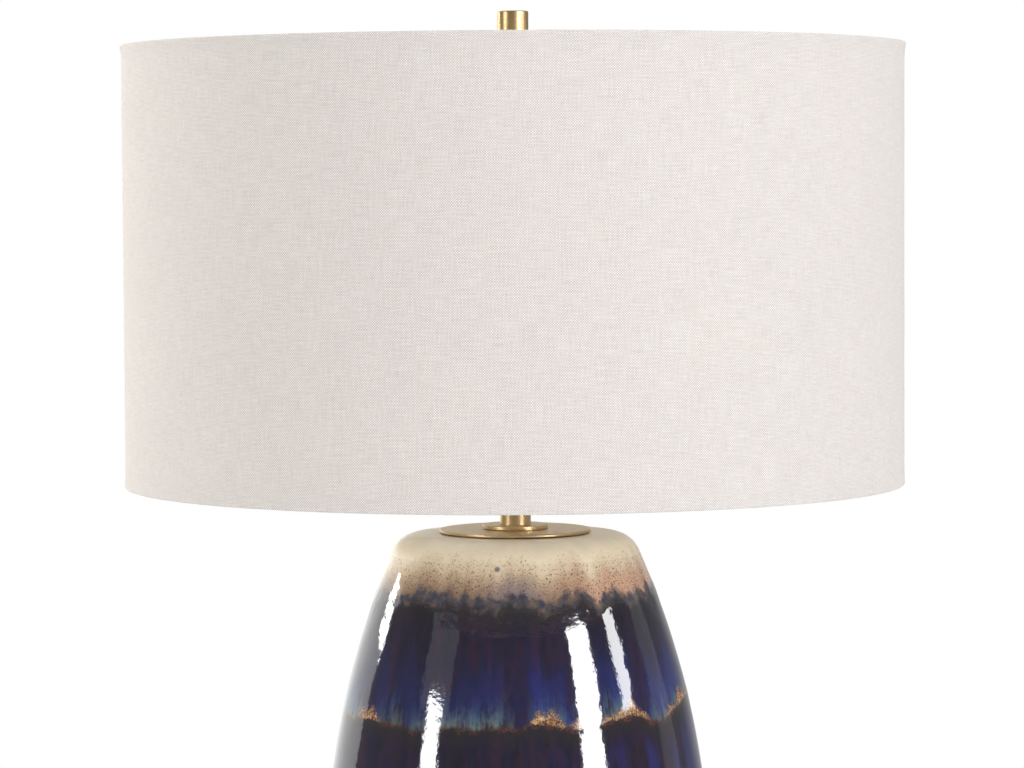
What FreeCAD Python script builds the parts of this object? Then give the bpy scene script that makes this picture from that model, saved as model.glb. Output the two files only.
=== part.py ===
"""Table lamp: a tall glazed ceramic body, brass fittings on a through-rod, a turn-knob lamp socket, a wire harp,
and a straight-sided drum shade of linen on a translucent liner, held down by a plain cylindrical finial.

Millimetres. +Z is up, the origin is on the table at the middle of the foot, and the front of the lamp faces -Y.
The harp's legs stand at +X and -X, the switch knob points to the front, and the cord leaves at the back.
"""

import FreeCAD, Part
import math
import os

from FreeCAD import Vector

# ---------------------------------------------------------------- driving dimensions
overall_height = 686.0

# Ceramic body, in heights above the table
felt_thickness = 1.5
foot_radius = 62.0
belly_radius = 102.0
belly_height = 227.0
shoulder_radius = 60.8  # where the side would meet the top, before the shoulder is rounded
shoulder_rounding = 15.0
ceramic_top = 413.4
ceramic_wall = 6.0
ceramic_top_thickness = 8.0
recess_depth = 22.5  # hollow under the foot, which hides the nut
floor_thickness = 8.0
foot_wall = 7.0
foot_rounding = 2.0
felt_inset = 2.0

# Cord bushing in the foot wall, at the back
bushing_bore = 6.4
bushing_wall = 1.3
bushing_flange_radius = 6.3
bushing_flange_thickness = 1.5
bushing_height = 12.5
bushing_seat_depth = 0.5  # how far the spot face lies outside the foot radius
bushing_clearance = 0.1
spot_face_clearance = 0.4

# Rod and the hardware clamped along it
rod_diameter = 9.6
rod_bore = 6.5
rod_clearance = 0.1  # radial, for every plain hole on the rod
rod_bushing_wall = 1.5
base_gasket = (20.0, 2.0)  # (outer radius, thickness)
base_washer = (19.0, 1.6)
lock_washer_width = 3.3
lock_washer_thickness = 1.5
lock_washer_gap = 1.6
nut_across_flats = 1.5 * rod_diameter
base_nut_thickness = 4.0
locknut_thickness = 2.8
rod_tail = 4.0
cap_gasket = (30.0, 0.4)
vase_cap = (39.6, 1.8)
check_ring = (17.2, 2.4)
neck_radius = 8.2
neck_height = 22.0
edge_rounding = 0.6

# Turn-knob socket
socket_shell_radius = 17.0
socket_shell_wall = 0.5
socket_cap_wall = 0.9
socket_cap_height = 22.0
socket_cap_rim = 8.5
socket_hub_wall = 2.0
socket_hub_height = 9.5
socket_length = 60.0
liner_wall = 0.8
socket_gap = 0.05  # radial, between the shells that slip into each other
core_radius = 14.6
core_bottom = 15.1
core_height = 19.9
core_flange_thickness = 1.5
knob_axis_height = 28.0
rotor_radius = 4.0
rotor_clearance = 0.3
rotor_length = 13.0
shaft_radius = 1.6
knob_radius = 5.5
knob_length = 13.0
knob_gap = 2.0
knob_flutes = 12
lamp_thread_radius = 13.3  # inside of the screw shell
lamp_thread_clearance = 0.25
screw_shell_wall = 0.5
screw_shell_height = 24.0
screw_shell_floor_hole = 7.0
terminal_flat = 12.4
contact_rise = 2.7

# Light bulb, heights from its tip
bulb_cap_height = 25.0
bulb_length = 108.0
bulb_radius = 30.0
bulb_seam_height = 62.0
bulb_seam_radius = 24.5
bulb_wall = 1.4
bulb_rest_gap = 0.1
led_count = 12

# Harp: a wire loop on a saddle under the socket
saddle_thickness = 1.2
saddle_width = 13.0
saddle_bend = 6.0
leg_spacing = 60.0
arm_height = 15.4  # from the saddle's underside to the stop that the sleeve rests on
tongue_height = 11.0
tongue_width = 4.0
tongue_gap = 0.2
harp_wire_radius = 1.7
harp_lean = 30.0  # degrees that the legs splay before they turn back in
harp_tuck = 20.0  # degrees that the legs lean in at the shoulder
harp_leg = 26.0  # straight run above the foot, which the sleeve slides along
harp_foot_bend = 35.0
harp_side_bend = 120.0
harp_corner_bend = 40.0
harp_half_width = 55.8
sleeve_clearance = 0.3
sleeve_wall = 0.8
sleeve_height = 14.0
crown_radius = 5.6
crown_below_wire = 4.0
crown_above_wire = 5.5
pivot_radius = 2.0
pivot_clearance = 0.06
pivot_depth = 3.2
seat_radius = 9.5
seat_thickness = 2.0
stud_radius = 3.1
stud_length = 12.0

# Drum shade
shade_radius = 203.2
shade_height = 228.6
fabric_thickness = 0.6
shade_liner_thickness = 0.5
ring_wire_radius = 1.5
hem_depth = 8.0
fitter_drop = 10.2  # the hub's top lies this far below the shade's top edge
hub_radius = 14.0
hub_thickness = 1.6
hub_hole_radius = 3.6
arm_wire_radius = 1.5
arm_count = 3
arm_start_angle = 90.0
arm_rise_run = 24.0  # how far in from the ring an arm starts to climb
arm_bend = 9.0
arm_notch_clearance = 0.3

# Finial
finial_radius = 8.2
finial_height = 28.0
finial_rounding = 0.7
finial_hole_clearance = 0.15
finial_hole_spare = 1.5

# ---------------------------------------------------------------- places worked out from them
ceramic_bottom = felt_thickness
recess_top = ceramic_bottom + recess_depth
cavity_bottom = recess_top + floor_thickness
bushing_seat = foot_radius + bushing_seat_depth
bushing_radius = bushing_bore / 2 + bushing_wall

rod_radius = rod_diameter / 2
hole_radius = rod_radius + rod_clearance
rod_bushing_radius = hole_radius + rod_bushing_wall
gasket_bottom = recess_top - base_gasket[1]
washer_bottom = gasket_bottom - base_washer[1]
lock_washer_bottom = washer_bottom - lock_washer_thickness
nut_bottom = lock_washer_bottom - base_nut_thickness
rod_bottom = nut_bottom - rod_tail

cap_bottom = ceramic_top + cap_gasket[1]
check_ring_bottom = cap_bottom + vase_cap[1]
neck_bottom = check_ring_bottom + check_ring[1]
saddle_bottom = neck_bottom + neck_height
locknut_bottom = saddle_bottom + saddle_thickness
socket_bottom = locknut_bottom + locknut_thickness
rod_top = socket_bottom + socket_hub_height - 0.5

socket_hub_radius = hole_radius + socket_hub_wall
socket_cap_inner = socket_shell_radius + socket_gap
socket_cap_outer = socket_cap_inner + socket_cap_wall
shell_inner = socket_shell_radius - socket_shell_wall
liner_outer = shell_inner - socket_gap
liner_inner = liner_outer - liner_wall
core_base = socket_bottom + core_bottom
shell_bottom = core_base + core_flange_thickness
core_top = core_base + core_height
knob_z = socket_bottom + knob_axis_height
knob_back = -(socket_shell_radius + knob_gap)
bulb_thread_radius = lamp_thread_radius - lamp_thread_clearance
bulb_tip = core_top + contact_rise + bulb_rest_gap

stop_height = saddle_bottom + arm_height
tongue_top = stop_height + tongue_height
leg_x = leg_spacing / 2
wire_foot = tongue_top + sleeve_clearance
tongue_pair = math.hypot(saddle_thickness + tongue_gap / 2, tongue_width / 2)
sleeve_bore_radius = max(tongue_pair, harp_wire_radius) + sleeve_clearance

hub_top = overall_height - finial_height
shade_top = hub_top + fitter_drop
hem_radius = fabric_thickness + (shade_liner_thickness + 2 * ring_wire_radius) / 2
ring_radius = shade_radius - fabric_thickness - shade_liner_thickness - ring_wire_radius
shade_bottom = shade_top - shade_height
seat_top = hub_top - hub_thickness
crown_top = seat_top - seat_thickness
harp_top = crown_top - crown_above_wire  # centre of the wire where it passes through the crown
arm_z = hub_top - hub_thickness - arm_wire_radius

UP = Vector(0, 0, 1)
BACK = Vector(0, 1, 0)


# ---------------------------------------------------------------- helpers
def outline(corners):
    """A closed face in the XZ plane. A corner is (x, z) or (x, z, rounding), and a rounding becomes a tangent arc."""
    spots = [(Vector(c[0], 0, c[1]), c[2] if len(c) > 2 else 0.0) for c in corners]
    ends = []
    for i, (corner, rounding) in enumerate(spots):
        to_last = (spots[i - 1][0] - corner).normalize()
        to_next = (spots[(i + 1) % len(spots)][0] - corner).normalize()
        if not rounding:
            ends.append((corner, None, corner))
            continue
        half = to_last.getAngle(to_next) / 2
        reach = rounding / math.tan(half)
        middle = (to_last + to_next).normalize()
        centre = corner + middle * (rounding / math.sin(half))
        ends.append((corner + to_last * reach, centre - middle * rounding, corner + to_next * reach))
    edges = []
    for i, (start, middle, end) in enumerate(ends):
        if middle:
            edges.append(Part.Arc(start, middle, end).toShape())
        following = ends[(i + 1) % len(ends)][0]
        if end.distanceToPoint(following) > 1e-6:
            edges.append(Part.LineSegment(end, following).toShape())
    return Part.Face(Part.Wire(edges))


def turned(corners):
    """The solid that an outline sweeps when it is turned about the Z axis."""
    return outline(corners).revolve(Vector(0, 0, 0), UP, 360)


def tube(outer, inner, bottom, height, rounding=0.0):
    """A ring or tube on the Z axis, with its outer edges rounded if asked."""
    top = bottom + height
    return turned([(inner, bottom), (outer, bottom, rounding), (outer, top, rounding), (inner, top)])


def disc(radius, bottom, height):
    return Part.makeCylinder(radius, height, Vector(0, 0, bottom))


def along_y(radius, start, end, z, x=0.0):
    """A cylinder along Y, from start to end."""
    return Part.makeCylinder(radius, end - start, Vector(x, start, z), BACK)


def hexagon(across_flats, hole, bottom, height):
    """A hexagonal nut with its corners turned off at 30 degrees."""
    corner = across_flats / math.sqrt(3)
    points = [Vector(corner * math.cos(math.radians(60 * i)), corner * math.sin(math.radians(60 * i)), bottom)
              for i in range(7)]
    prism = Part.Face(Part.makePolygon(points)).extrude(UP * height)
    slope = (corner - across_flats / 2) * math.tan(math.radians(30))
    crowned = turned([(hole, bottom), (across_flats / 2, bottom), (corner, bottom + slope),
                      (corner, bottom + height - slope), (across_flats / 2, bottom + height),
                      (hole, bottom + height)])
    return prism.common(crowned)


def swept(edges, radius):
    """A round wire along a path of lines and tangent arcs."""
    path = Part.Wire(edges)
    first = path.OrderedEdges[0]
    start = first.valueAt(first.FirstParameter)
    direction = first.tangentAt(first.FirstParameter)
    section = Part.Wire(Part.makeCircle(radius, start, direction))
    return path.makePipeShell([section], True, False)


def spun(shape, count, start=0.0):
    """Copies of a shape, evenly spaced about the Z axis."""
    copies = []
    for i in range(count):
        copy = shape.copy()
        copy.rotate(Vector(0, 0, 0), UP, start + 360.0 * i / count)
        copies.append(copy)
    return copies


def joined(shapes):
    solid = shapes[0].fuse(shapes[1:]).removeSplitter()
    return solid


def save(name, *solids):
    """Writes one sub-part, as one solid or as a group of separate ones."""
    shape = solids[0] if len(solids) == 1 else Part.makeCompound(list(solids))
    for solid in shape.Solids:
        if not solid.isValid() or solid.Volume <= 0:
            raise ValueError(f"{name} is not a sound solid")
    shape.exportStep(f"parts/{name}.step")


# ---------------------------------------------------------------- ceramic body
def side_arc(height, drop):
    """Radius of the arc that stands upright at the belly and comes in by drop over height."""
    return (height**2 + drop**2) / (2 * drop)


lower_arc = side_arc(belly_height - ceramic_bottom, belly_radius - foot_radius)
upper_arc = side_arc(ceramic_top - belly_height, belly_radius - shoulder_radius)


def side_radius(z, inset=0.0):
    """Radius of the body's side at height z, or of the surface that lies inset inside it."""
    arc = upper_arc if z > belly_height else lower_arc
    return belly_radius - arc + math.sqrt((arc - inset)**2 - (z - belly_height)**2)


def side_edge(low, high, inset=0.0):
    ends = [Vector(side_radius(z, inset), 0, z) for z in (low, (low + high) / 2, high)]
    return Part.Arc(*ends).toShape()


def bellied(bottom, top, inset=0.0):
    """The ovoid between two heights, at a distance inside the outer surface."""
    low, high = side_radius(bottom, inset), side_radius(top, inset)
    edges = [
        Part.LineSegment(Vector(0, 0, bottom), Vector(low, 0, bottom)).toShape(),
        side_edge(bottom, belly_height, inset),
        side_edge(belly_height, top, inset),
        Part.LineSegment(Vector(high, 0, top), Vector(0, 0, top)).toShape(),
        Part.LineSegment(Vector(0, 0, top), Vector(0, 0, bottom)).toShape(),
    ]
    return Part.Face(Part.Wire(edges)).revolve(Vector(0, 0, 0), UP, 360)


def rim_edges(solid, z):
    """The outermost circular edge at height z."""
    level = [e for e in solid.Edges if abs(e.BoundBox.ZMin - z) < 1e-4 and abs(e.BoundBox.ZMax - z) < 1e-4]
    widest = max(e.BoundBox.XMax for e in level)
    return [e for e in level if abs(e.BoundBox.XMax - widest) < 1e-4]


def make_ceramic_body():
    outer = bellied(ceramic_bottom, ceramic_top)
    outer = outer.makeFillet(shoulder_rounding, rim_edges(outer, ceramic_top))
    outer = outer.makeFillet(foot_rounding, rim_edges(outer, ceramic_bottom))
    cavity_top = ceramic_top - ceramic_top_thickness
    cavity = bellied(cavity_bottom, cavity_top, ceramic_wall)
    cavity = cavity.makeFillet(shoulder_rounding - ceramic_wall, rim_edges(cavity, cavity_top))
    recess = disc(foot_radius - foot_wall, ceramic_bottom, recess_depth)
    rod_hole = disc(rod_bushing_radius + rod_clearance, ceramic_bottom, ceramic_top)
    cord_hole = along_y(bushing_radius + bushing_clearance, 0, belly_radius, bushing_height)
    spot_face = along_y(bushing_flange_radius + spot_face_clearance, bushing_seat, belly_radius, bushing_height)
    return outer.cut([cavity, recess, rod_hole, cord_hole, spot_face])


def make_cord_bushing():
    """Flanged plastic bushing, with a rounded mouth so that it doesn't chafe the cord."""
    inner_end = foot_radius - foot_wall - 1.0
    mouth = bushing_flange_thickness / 2
    bore = bushing_bore / 2
    length = bushing_seat + bushing_flange_thickness - inner_end
    shape = turned([
        (bore, 0), (bushing_radius, 0, 0.4), (bushing_radius, bushing_seat - inner_end),
        (bushing_flange_radius, bushing_seat - inner_end), (bushing_flange_radius, length, mouth),
        (bore, length, mouth),
    ])
    shape.rotate(Vector(0, 0, 0), Vector(1, 0, 0), -90)
    shape.translate(Vector(0, inner_end, bushing_height))
    return shape


def make_felt_pad():
    return disc(foot_radius - felt_inset, 0, felt_thickness)


# ---------------------------------------------------------------- rod and hardware
def make_lock_washer():
    """A split ring."""
    outer = hole_radius + lock_washer_width
    split = Part.makeBox(outer, lock_washer_gap, lock_washer_thickness,
                         Vector(0, -lock_washer_gap / 2, lock_washer_bottom))
    return tube(outer, hole_radius, lock_washer_bottom, lock_washer_thickness).cut(split)


def make_rod_bushings():
    """Two plastic sleeves that centre the rod in the ceramic's top and floor."""
    top = tube(rod_bushing_radius, hole_radius, ceramic_top - ceramic_top_thickness, ceramic_top_thickness)
    floor = tube(rod_bushing_radius, hole_radius, recess_top, floor_thickness)
    return top, floor


def save_rod_and_hardware():
    save("threaded_rod", tube(rod_radius, rod_bore / 2, rod_bottom, rod_top - rod_bottom, 0.4))
    save("rod_bushings", *make_rod_bushings())
    save("base_gasket", tube(base_gasket[0], hole_radius, gasket_bottom, base_gasket[1]))
    save("base_washer", tube(base_washer[0], hole_radius, washer_bottom, base_washer[1], 0.3))
    save("base_lock_washer", make_lock_washer())
    save("base_nut", hexagon(nut_across_flats, hole_radius, nut_bottom, base_nut_thickness))
    save("cap_gasket", tube(cap_gasket[0], hole_radius, ceramic_top, cap_gasket[1]))
    save("vase_cap", tube(vase_cap[0], hole_radius, cap_bottom, vase_cap[1], edge_rounding))
    save("check_ring", tube(check_ring[0], hole_radius, check_ring_bottom, check_ring[1], edge_rounding))
    save("neck_tube", tube(neck_radius, hole_radius, neck_bottom, neck_height))
    save("saddle_locknut", hexagon(nut_across_flats, hole_radius, locknut_bottom, locknut_thickness))


# ---------------------------------------------------------------- socket
set_screw_radius = 1.5
set_screw_z = socket_bottom + 3.0


def make_socket_cap():
    cone_foot = socket_cap_height - socket_cap_rim
    shape = turned([
        (hole_radius, 0), (socket_hub_radius, 0, 0.5), (socket_hub_radius, cone_foot / 2, 1.5),
        (socket_cap_outer, cone_foot, 4.0), (socket_cap_outer, socket_cap_height, 0.3),
        (socket_cap_inner, socket_cap_height), (socket_cap_inner, cone_foot + socket_cap_wall, 1.0),
        (socket_hub_radius + socket_cap_wall, socket_hub_height + 0.6, 1.0), (hole_radius, socket_hub_height),
    ])
    shape.translate(UP * socket_bottom)
    return shape.cut(along_y(set_screw_radius, rod_radius, socket_cap_outer, set_screw_z))


def make_set_screw():
    """A slotted grub screw in the cap's hub, which bears on the rod."""
    outer_end = socket_hub_radius + 1.2
    screw = along_y(set_screw_radius - 0.02, hole_radius, outer_end, set_screw_z)
    slot = Part.makeBox(2 * set_screw_radius, 0.8, 0.5,
                        Vector(-set_screw_radius, outer_end - 0.8, set_screw_z - 0.25))
    return screw.cut(slot)


def knob_hole():
    """The hole at the front of the shell and its liner, where the switch shaft comes out."""
    return along_y(shaft_radius + 1.0, -socket_shell_radius - 1, -liner_inner + 2, knob_z)


def make_socket_shell():
    """Drawn brass tube with a rolled bead near its mouth."""
    top = socket_bottom + socket_length
    bead = 0.4
    bead_z = top - 5.0
    shape = turned([
        (shell_inner, shell_bottom), (socket_shell_radius, shell_bottom),
        (socket_shell_radius, bead_z - 1.2), (socket_shell_radius + bead, bead_z, 0.8),
        (socket_shell_radius, bead_z + 1.2), (socket_shell_radius, top, 0.2), (shell_inner, top),
    ])
    return shape.cut(knob_hole())


def make_socket_liner():
    bottom = shell_bottom + 0.5
    height = socket_bottom + socket_length - 1.5 - bottom
    return tube(liner_outer, liner_inner, bottom, height).cut(knob_hole())


terminal_z = core_base + 7.4
terminal_plate_thickness = 0.8
terminal_screw_length = 4.5
terminal_screw_head = (3.1, 1.3)  # (radius, height)
rivet_radius = 1.2
rivet_head = (2.0, 0.6)
rivet_offset = 10.3
rivet_length = 6.0


def make_socket_core():
    """Moulded block that carries the screw shell, the contact and the switch. Its flange sits in the cap."""
    flange = disc(socket_shell_radius, core_base, core_flange_thickness)
    block = disc(core_radius, core_base, core_height)
    beyond = core_radius - terminal_flat
    flats = [Part.makeBox(beyond, 2 * core_radius, core_height, Vector(x, -core_radius, core_base))
             for x in (terminal_flat, -core_radius)]
    bore = along_y(rotor_radius + rotor_clearance, -core_radius, rotor_length - core_radius + 1.0, knob_z)
    screw_holes = [terminal_screw_body(side) for side in (1, -1)]
    rivet_holes = [rivet_body(side) for side in (1, -1)]
    return joined([block.cut(flats), flange]).cut([bore] + screw_holes + rivet_holes)


def terminal_screw_body(side):
    start = Vector(side * (terminal_flat - terminal_screw_length), 0, terminal_z)
    return Part.makeCylinder(1.5, terminal_screw_length + terminal_plate_thickness, start, Vector(side, 0, 0))


def make_terminal_screw(side):
    face = side * (terminal_flat + terminal_plate_thickness)
    radius, height = terminal_screw_head
    head = Part.makeCylinder(radius, height, Vector(face, 0, terminal_z), Vector(side, 0, 0))
    slot_x = face + side * (height - 0.5)
    slot = Part.makeBox(0.5, 2 * radius, 0.7, Vector(min(slot_x, slot_x + side * 0.5), -radius, terminal_z - 0.35))
    return joined([head.cut(slot), terminal_screw_body(side)])


def make_terminal_plate(side):
    """A brass plate under each terminal screw, with its front edge bent out for the wire."""
    inner = min(side * terminal_flat, side * (terminal_flat + terminal_plate_thickness))
    plate = Part.makeBox(terminal_plate_thickness, 9.0, 7.0, Vector(inner, -4.5, terminal_z - 3.5))
    return plate.cut(terminal_screw_body(side))


def rivet_body(side):
    return Part.makeCylinder(rivet_radius, rivet_length + screw_shell_wall,
                             Vector(side * rivet_offset, 0, core_top - rivet_length))


def make_rivet(side):
    radius, height = rivet_head
    head = Part.makeCylinder(radius, height, Vector(side * rivet_offset, 0, core_top + screw_shell_wall))
    return joined([head, rivet_body(side)])


def make_screw_shell():
    """The threaded brass cup that the bulb screws into, drawn as its plain envelope, riveted to the core."""
    outer = lamp_thread_radius + screw_shell_wall
    floor = core_top + screw_shell_wall
    top = core_top + screw_shell_height
    shape = turned([
        (screw_shell_floor_hole, core_top), (outer, core_top, 0.8), (outer, top), (lamp_thread_radius, top),
        (lamp_thread_radius, floor), (screw_shell_floor_hole, floor),
    ])
    return shape.cut([rivet_body(side) for side in (1, -1)])


def make_centre_contact():
    """A round brass foot with a sprung leaf arched over it, front to back."""
    half, sheet, width = 5.0, 0.5, 4.0
    foot = disc(half + 0.6, core_top, 0.6)
    low, high = core_top + 0.2, core_top + contact_rise
    under = Part.Arc(Vector(-half, 0, low), Vector(0, 0, high - sheet), Vector(half, 0, low)).toShape()
    over = Part.Arc(Vector(half, 0, low + sheet), Vector(0, 0, high), Vector(-half, 0, low + sheet)).toShape()
    ends = [Part.LineSegment(Vector(x, 0, low), Vector(x, 0, low + sheet)).toShape() for x in (half, -half)]
    leaf = Part.Face(Part.Wire([under, ends[0], over, ends[1]])).extrude(BACK * width)
    leaf.translate(BACK * (-width / 2))
    leaf.rotate(Vector(0, 0, 0), UP, 90)
    return joined([foot, leaf])


def save_socket():
    save("socket_cap", make_socket_cap())
    save("socket_set_screw", make_set_screw())
    save("socket_shell", make_socket_shell())
    save("socket_liner", make_socket_liner())
    save("socket_core", make_socket_core())
    save("terminal_plates", *[make_terminal_plate(side) for side in (1, -1)])
    save("terminal_screws", *[make_terminal_screw(side) for side in (1, -1)])
    save("core_rivets", *[make_rivet(side) for side in (1, -1)])
    save("screw_shell", make_screw_shell())
    save("centre_contact", make_centre_contact())


# ---------------------------------------------------------------- switch, which turns about a line along Y
def make_rotor():
    """The switch cam: a round hub with a four-cornered cam at its inner end."""
    start = -core_radius + 0.5
    end = start + rotor_length
    cam_length = 4.0
    hub = along_y(rotor_radius - 0.9, start, end, knob_z)
    side = 2 * rotor_radius * 0.82
    cam = Part.makeBox(side, cam_length, side, Vector(-side / 2, end - cam_length, knob_z - side / 2))
    cam = cam.common(along_y(rotor_radius, end - cam_length, end, knob_z))
    return joined([hub, cam]).cut(switch_shaft())


def switch_shaft():
    return along_y(shaft_radius, knob_back - knob_length + 3.0, -core_radius + rotor_length - 2.0, knob_z)


def make_knob():
    """A fluted thimble with a rounded nose."""
    shape = turned([
        (0, 0), (knob_radius, 0, 0.5), (knob_radius - 0.4, knob_length, 1.6), (0, knob_length),
    ])
    flute = Part.makeCylinder(0.55, knob_length - 4.5, Vector(knob_radius + 0.1, 0, 2.0))
    shape = shape.cut(spun(flute, knob_flutes))
    shape.rotate(Vector(0, 0, 0), Vector(1, 0, 0), 90)
    shape.translate(Vector(0, knob_back, knob_z))
    return shape.cut(switch_shaft())


def save_switch():
    save("switch_rotor", make_rotor())
    save("switch_shaft", switch_shaft())
    save("switch_knob", make_knob())


# ---------------------------------------------------------------- bulb
tip_radius = 4.6
tip_height = 1.6
insulator_top = 5.5
bulb_plug_radius = bulb_thread_radius - 0.45


def lifted(shape):
    shape.translate(UP * bulb_tip)
    return shape


def make_bulb_tip():
    return lifted(turned([(0, 0), (tip_radius, 0, 0.8), (tip_radius, tip_height), (0, tip_height)]))


def make_bulb_insulator():
    return lifted(turned([(0, tip_height), (tip_radius, tip_height), (bulb_plug_radius, insulator_top),
                          (0, insulator_top)]))


def make_bulb_cap():
    """The bulb's screw cap, drawn as the plain envelope of its thread."""
    return lifted(turned([
        (bulb_plug_radius, insulator_top), (bulb_thread_radius, insulator_top + 1.0),
        (bulb_thread_radius, bulb_cap_height), (bulb_plug_radius, bulb_cap_height),
    ]))


def make_bulb_housing():
    """Hollow body between the screw cap and the globe, with a ledge that carries the light-emitting plate."""
    ledge = bulb_seam_height - 3.0
    neck = bulb_thread_radius + 0.6
    inside = bulb_plug_radius - bulb_wall
    return lifted(turned([
        (inside, insulator_top), (bulb_plug_radius, insulator_top), (bulb_plug_radius, bulb_cap_height),
        (neck, bulb_cap_height + 0.01), (neck, bulb_cap_height + 4.0, 8.0),
        (bulb_seam_radius, bulb_seam_height - 4.0, 12.0), (bulb_seam_radius, bulb_seam_height),
        (bulb_seam_radius - bulb_wall, bulb_seam_height), (bulb_seam_radius - bulb_wall, ledge),
        (bulb_seam_radius - 2 * bulb_wall, ledge), (inside, bulb_cap_height + 4.0),
    ]))


def globe_profile(inset):
    """The globe's half outline: out from the seam, round the widest point, and up to the crown."""
    ball = bulb_radius - inset
    middle = bulb_length - bulb_radius
    reach = bulb_seam_radius - inset
    start = Vector(reach, 0, bulb_seam_height)
    tangent_drop = math.sqrt(max(ball**2 - reach**2, 0.0))
    side = Vector(math.sqrt(ball**2 - (tangent_drop / 2)**2), 0, middle - tangent_drop / 2)
    join = Vector(reach, 0, middle - tangent_drop)
    crown = Vector(0, 0, middle + ball)
    slant = math.sqrt(0.5)
    edges = []
    if start.distanceToPoint(join) > 1e-3:
        edges.append(Part.LineSegment(start, join).toShape())
    edges.append(Part.Arc(join, side, Vector(ball, 0, middle)).toShape())
    edges.append(Part.Arc(Vector(ball, 0, middle), Vector(ball * slant, 0, middle + ball * slant), crown).toShape())
    return edges, start, crown


def globe_solid(inset):
    edges, start, crown = globe_profile(inset)
    foot = Vector(0, 0, start.z)
    edges = edges + [Part.LineSegment(crown, foot).toShape(), Part.LineSegment(foot, start).toShape()]
    return Part.Face(Part.Wire(edges)).revolve(Vector(0, 0, 0), UP, 360)


def make_bulb_globe():
    return lifted(globe_solid(0).cut(globe_solid(bulb_wall)))


def make_led_plate():
    plate = disc(bulb_seam_radius - bulb_wall - 0.1, bulb_seam_height - 3.0, 1.5)
    return lifted(plate)


def make_leds():
    size, height, circle = 2.8, 0.8, 15.0
    chip = Part.makeBox(size, size, height, Vector(circle - size / 2, -size / 2, bulb_seam_height - 1.5))
    return [lifted(copy) for copy in spun(chip, led_count)]


def make_driver_board():
    """The power board that stands inside the housing."""
    board = Part.makeBox(15.0, 1.6, bulb_seam_height - 16.0, Vector(-7.5, -0.8, 9.0))
    choke = Part.makeCylinder(4.0, 6.0, Vector(0, 0.8, 34.0), BACK)
    capacitor = Part.makeCylinder(3.2, 12.0, Vector(0, -3.9, 20.0))
    return lifted(joined([board, choke, capacitor]))


def save_bulb():
    save("bulb_tip_contact", make_bulb_tip())
    save("bulb_insulator", make_bulb_insulator())
    save("bulb_screw_cap", make_bulb_cap())
    save("bulb_housing", make_bulb_housing())
    save("bulb_globe", make_bulb_globe())
    save("bulb_led_plate", make_led_plate())
    save("bulb_leds", *make_leds())
    save("bulb_driver_board", make_driver_board())


# ---------------------------------------------------------------- harp
def make_saddle():
    """A strip bent up at both ends. Each arm narrows to a tongue, and the step between them stops the sleeve."""
    outer_x = leg_x + tongue_gap / 2 + saddle_thickness
    inner_x = outer_x - saddle_thickness
    low, inside = saddle_bottom, saddle_bottom + saddle_thickness
    bend = saddle_bend
    strip = outline([
        (-outer_x, tongue_top), (-outer_x, low, bend), (outer_x, low, bend), (outer_x, tongue_top),
        (inner_x, tongue_top), (inner_x, inside, bend - saddle_thickness),
        (-inner_x, inside, bend - saddle_thickness), (-inner_x, tongue_top),
    ]).extrude(BACK * saddle_width)
    strip.translate(BACK * (-saddle_width / 2))
    half, neck, tongue = saddle_width / 2, 3.6, tongue_width / 2
    taper_low = low + bend + 1.0
    front = Part.Face(Part.makePolygon([Vector(0, y, z) for y, z in (
        (-half, low), (half, low), (half, taper_low), (neck, stop_height - 2.0), (neck, stop_height),
        (tongue, stop_height), (tongue, tongue_top), (-tongue, tongue_top), (-tongue, stop_height),
        (-neck, stop_height), (-neck, stop_height - 2.0), (-half, taper_low), (-half, low))]))
    front = front.extrude(Vector(2 * outer_x, 0, 0))
    front.translate(Vector(-outer_x, 0, 0))
    return strip.common(front).cut(disc(hole_radius, low, saddle_thickness))


def harp_half_path():
    """The right half of the loop, from its foot to the top run, where each edge is tangent to the next.

    A heading is an angle from straight up, positive towards +X. Extra height goes into the run at the widest place.
    """
    lean, tuck = math.radians(harp_lean), math.radians(harp_tuck)

    def heading(angle):
        return Vector(math.sin(angle), 0, math.cos(angle))

    def right_of(angle):
        return Vector(math.cos(angle), 0, -math.sin(angle))

    foot_reach = harp_foot_bend * (1 - math.cos(lean)) + harp_side_bend * (1 - math.cos(lean))
    splay = (harp_half_width - leg_x - foot_reach) / math.sin(lean)
    rise = (harp_leg + (harp_foot_bend + harp_side_bend) * math.sin(lean) + splay * math.cos(lean)
            + harp_side_bend * math.sin(tuck) + harp_corner_bend * (1 - math.sin(tuck)))
    side_run = harp_top - wire_foot - rise
    spot = Vector(leg_x, 0, wire_foot)
    edges = []

    def run(angle, length):
        nonlocal spot
        edges.append(Part.LineSegment(spot, spot + heading(angle) * length).toShape())
        spot = spot + heading(angle) * length

    def bend(begin, finish, radius):
        """Turns the heading. The centre is on the right of a turn towards +X."""
        nonlocal spot
        to_centre = radius if finish > begin else -radius
        centre = spot + right_of(begin) * to_centre
        middle = centre - right_of((begin + finish) / 2) * to_centre
        end = centre - right_of(finish) * to_centre
        edges.append(Part.Arc(spot, middle, end).toShape())
        spot = end

    run(0, harp_leg)
    bend(0, lean, harp_foot_bend)
    run(lean, splay)
    bend(lean, 0, harp_side_bend)
    run(0, side_run)
    bend(0, -tuck, harp_side_bend)
    bend(-tuck, -math.pi / 2, harp_corner_bend)
    return edges, spot


def harp_loop():
    right, top = harp_half_path()
    left = [edge.mirror(Vector(0, 0, 0), Vector(1, 0, 0)) for edge in reversed(right)]
    crossing = Part.LineSegment(top, Vector(-top.x, 0, top.z)).toShape()
    return swept(right + [crossing] + left, harp_wire_radius)


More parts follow.
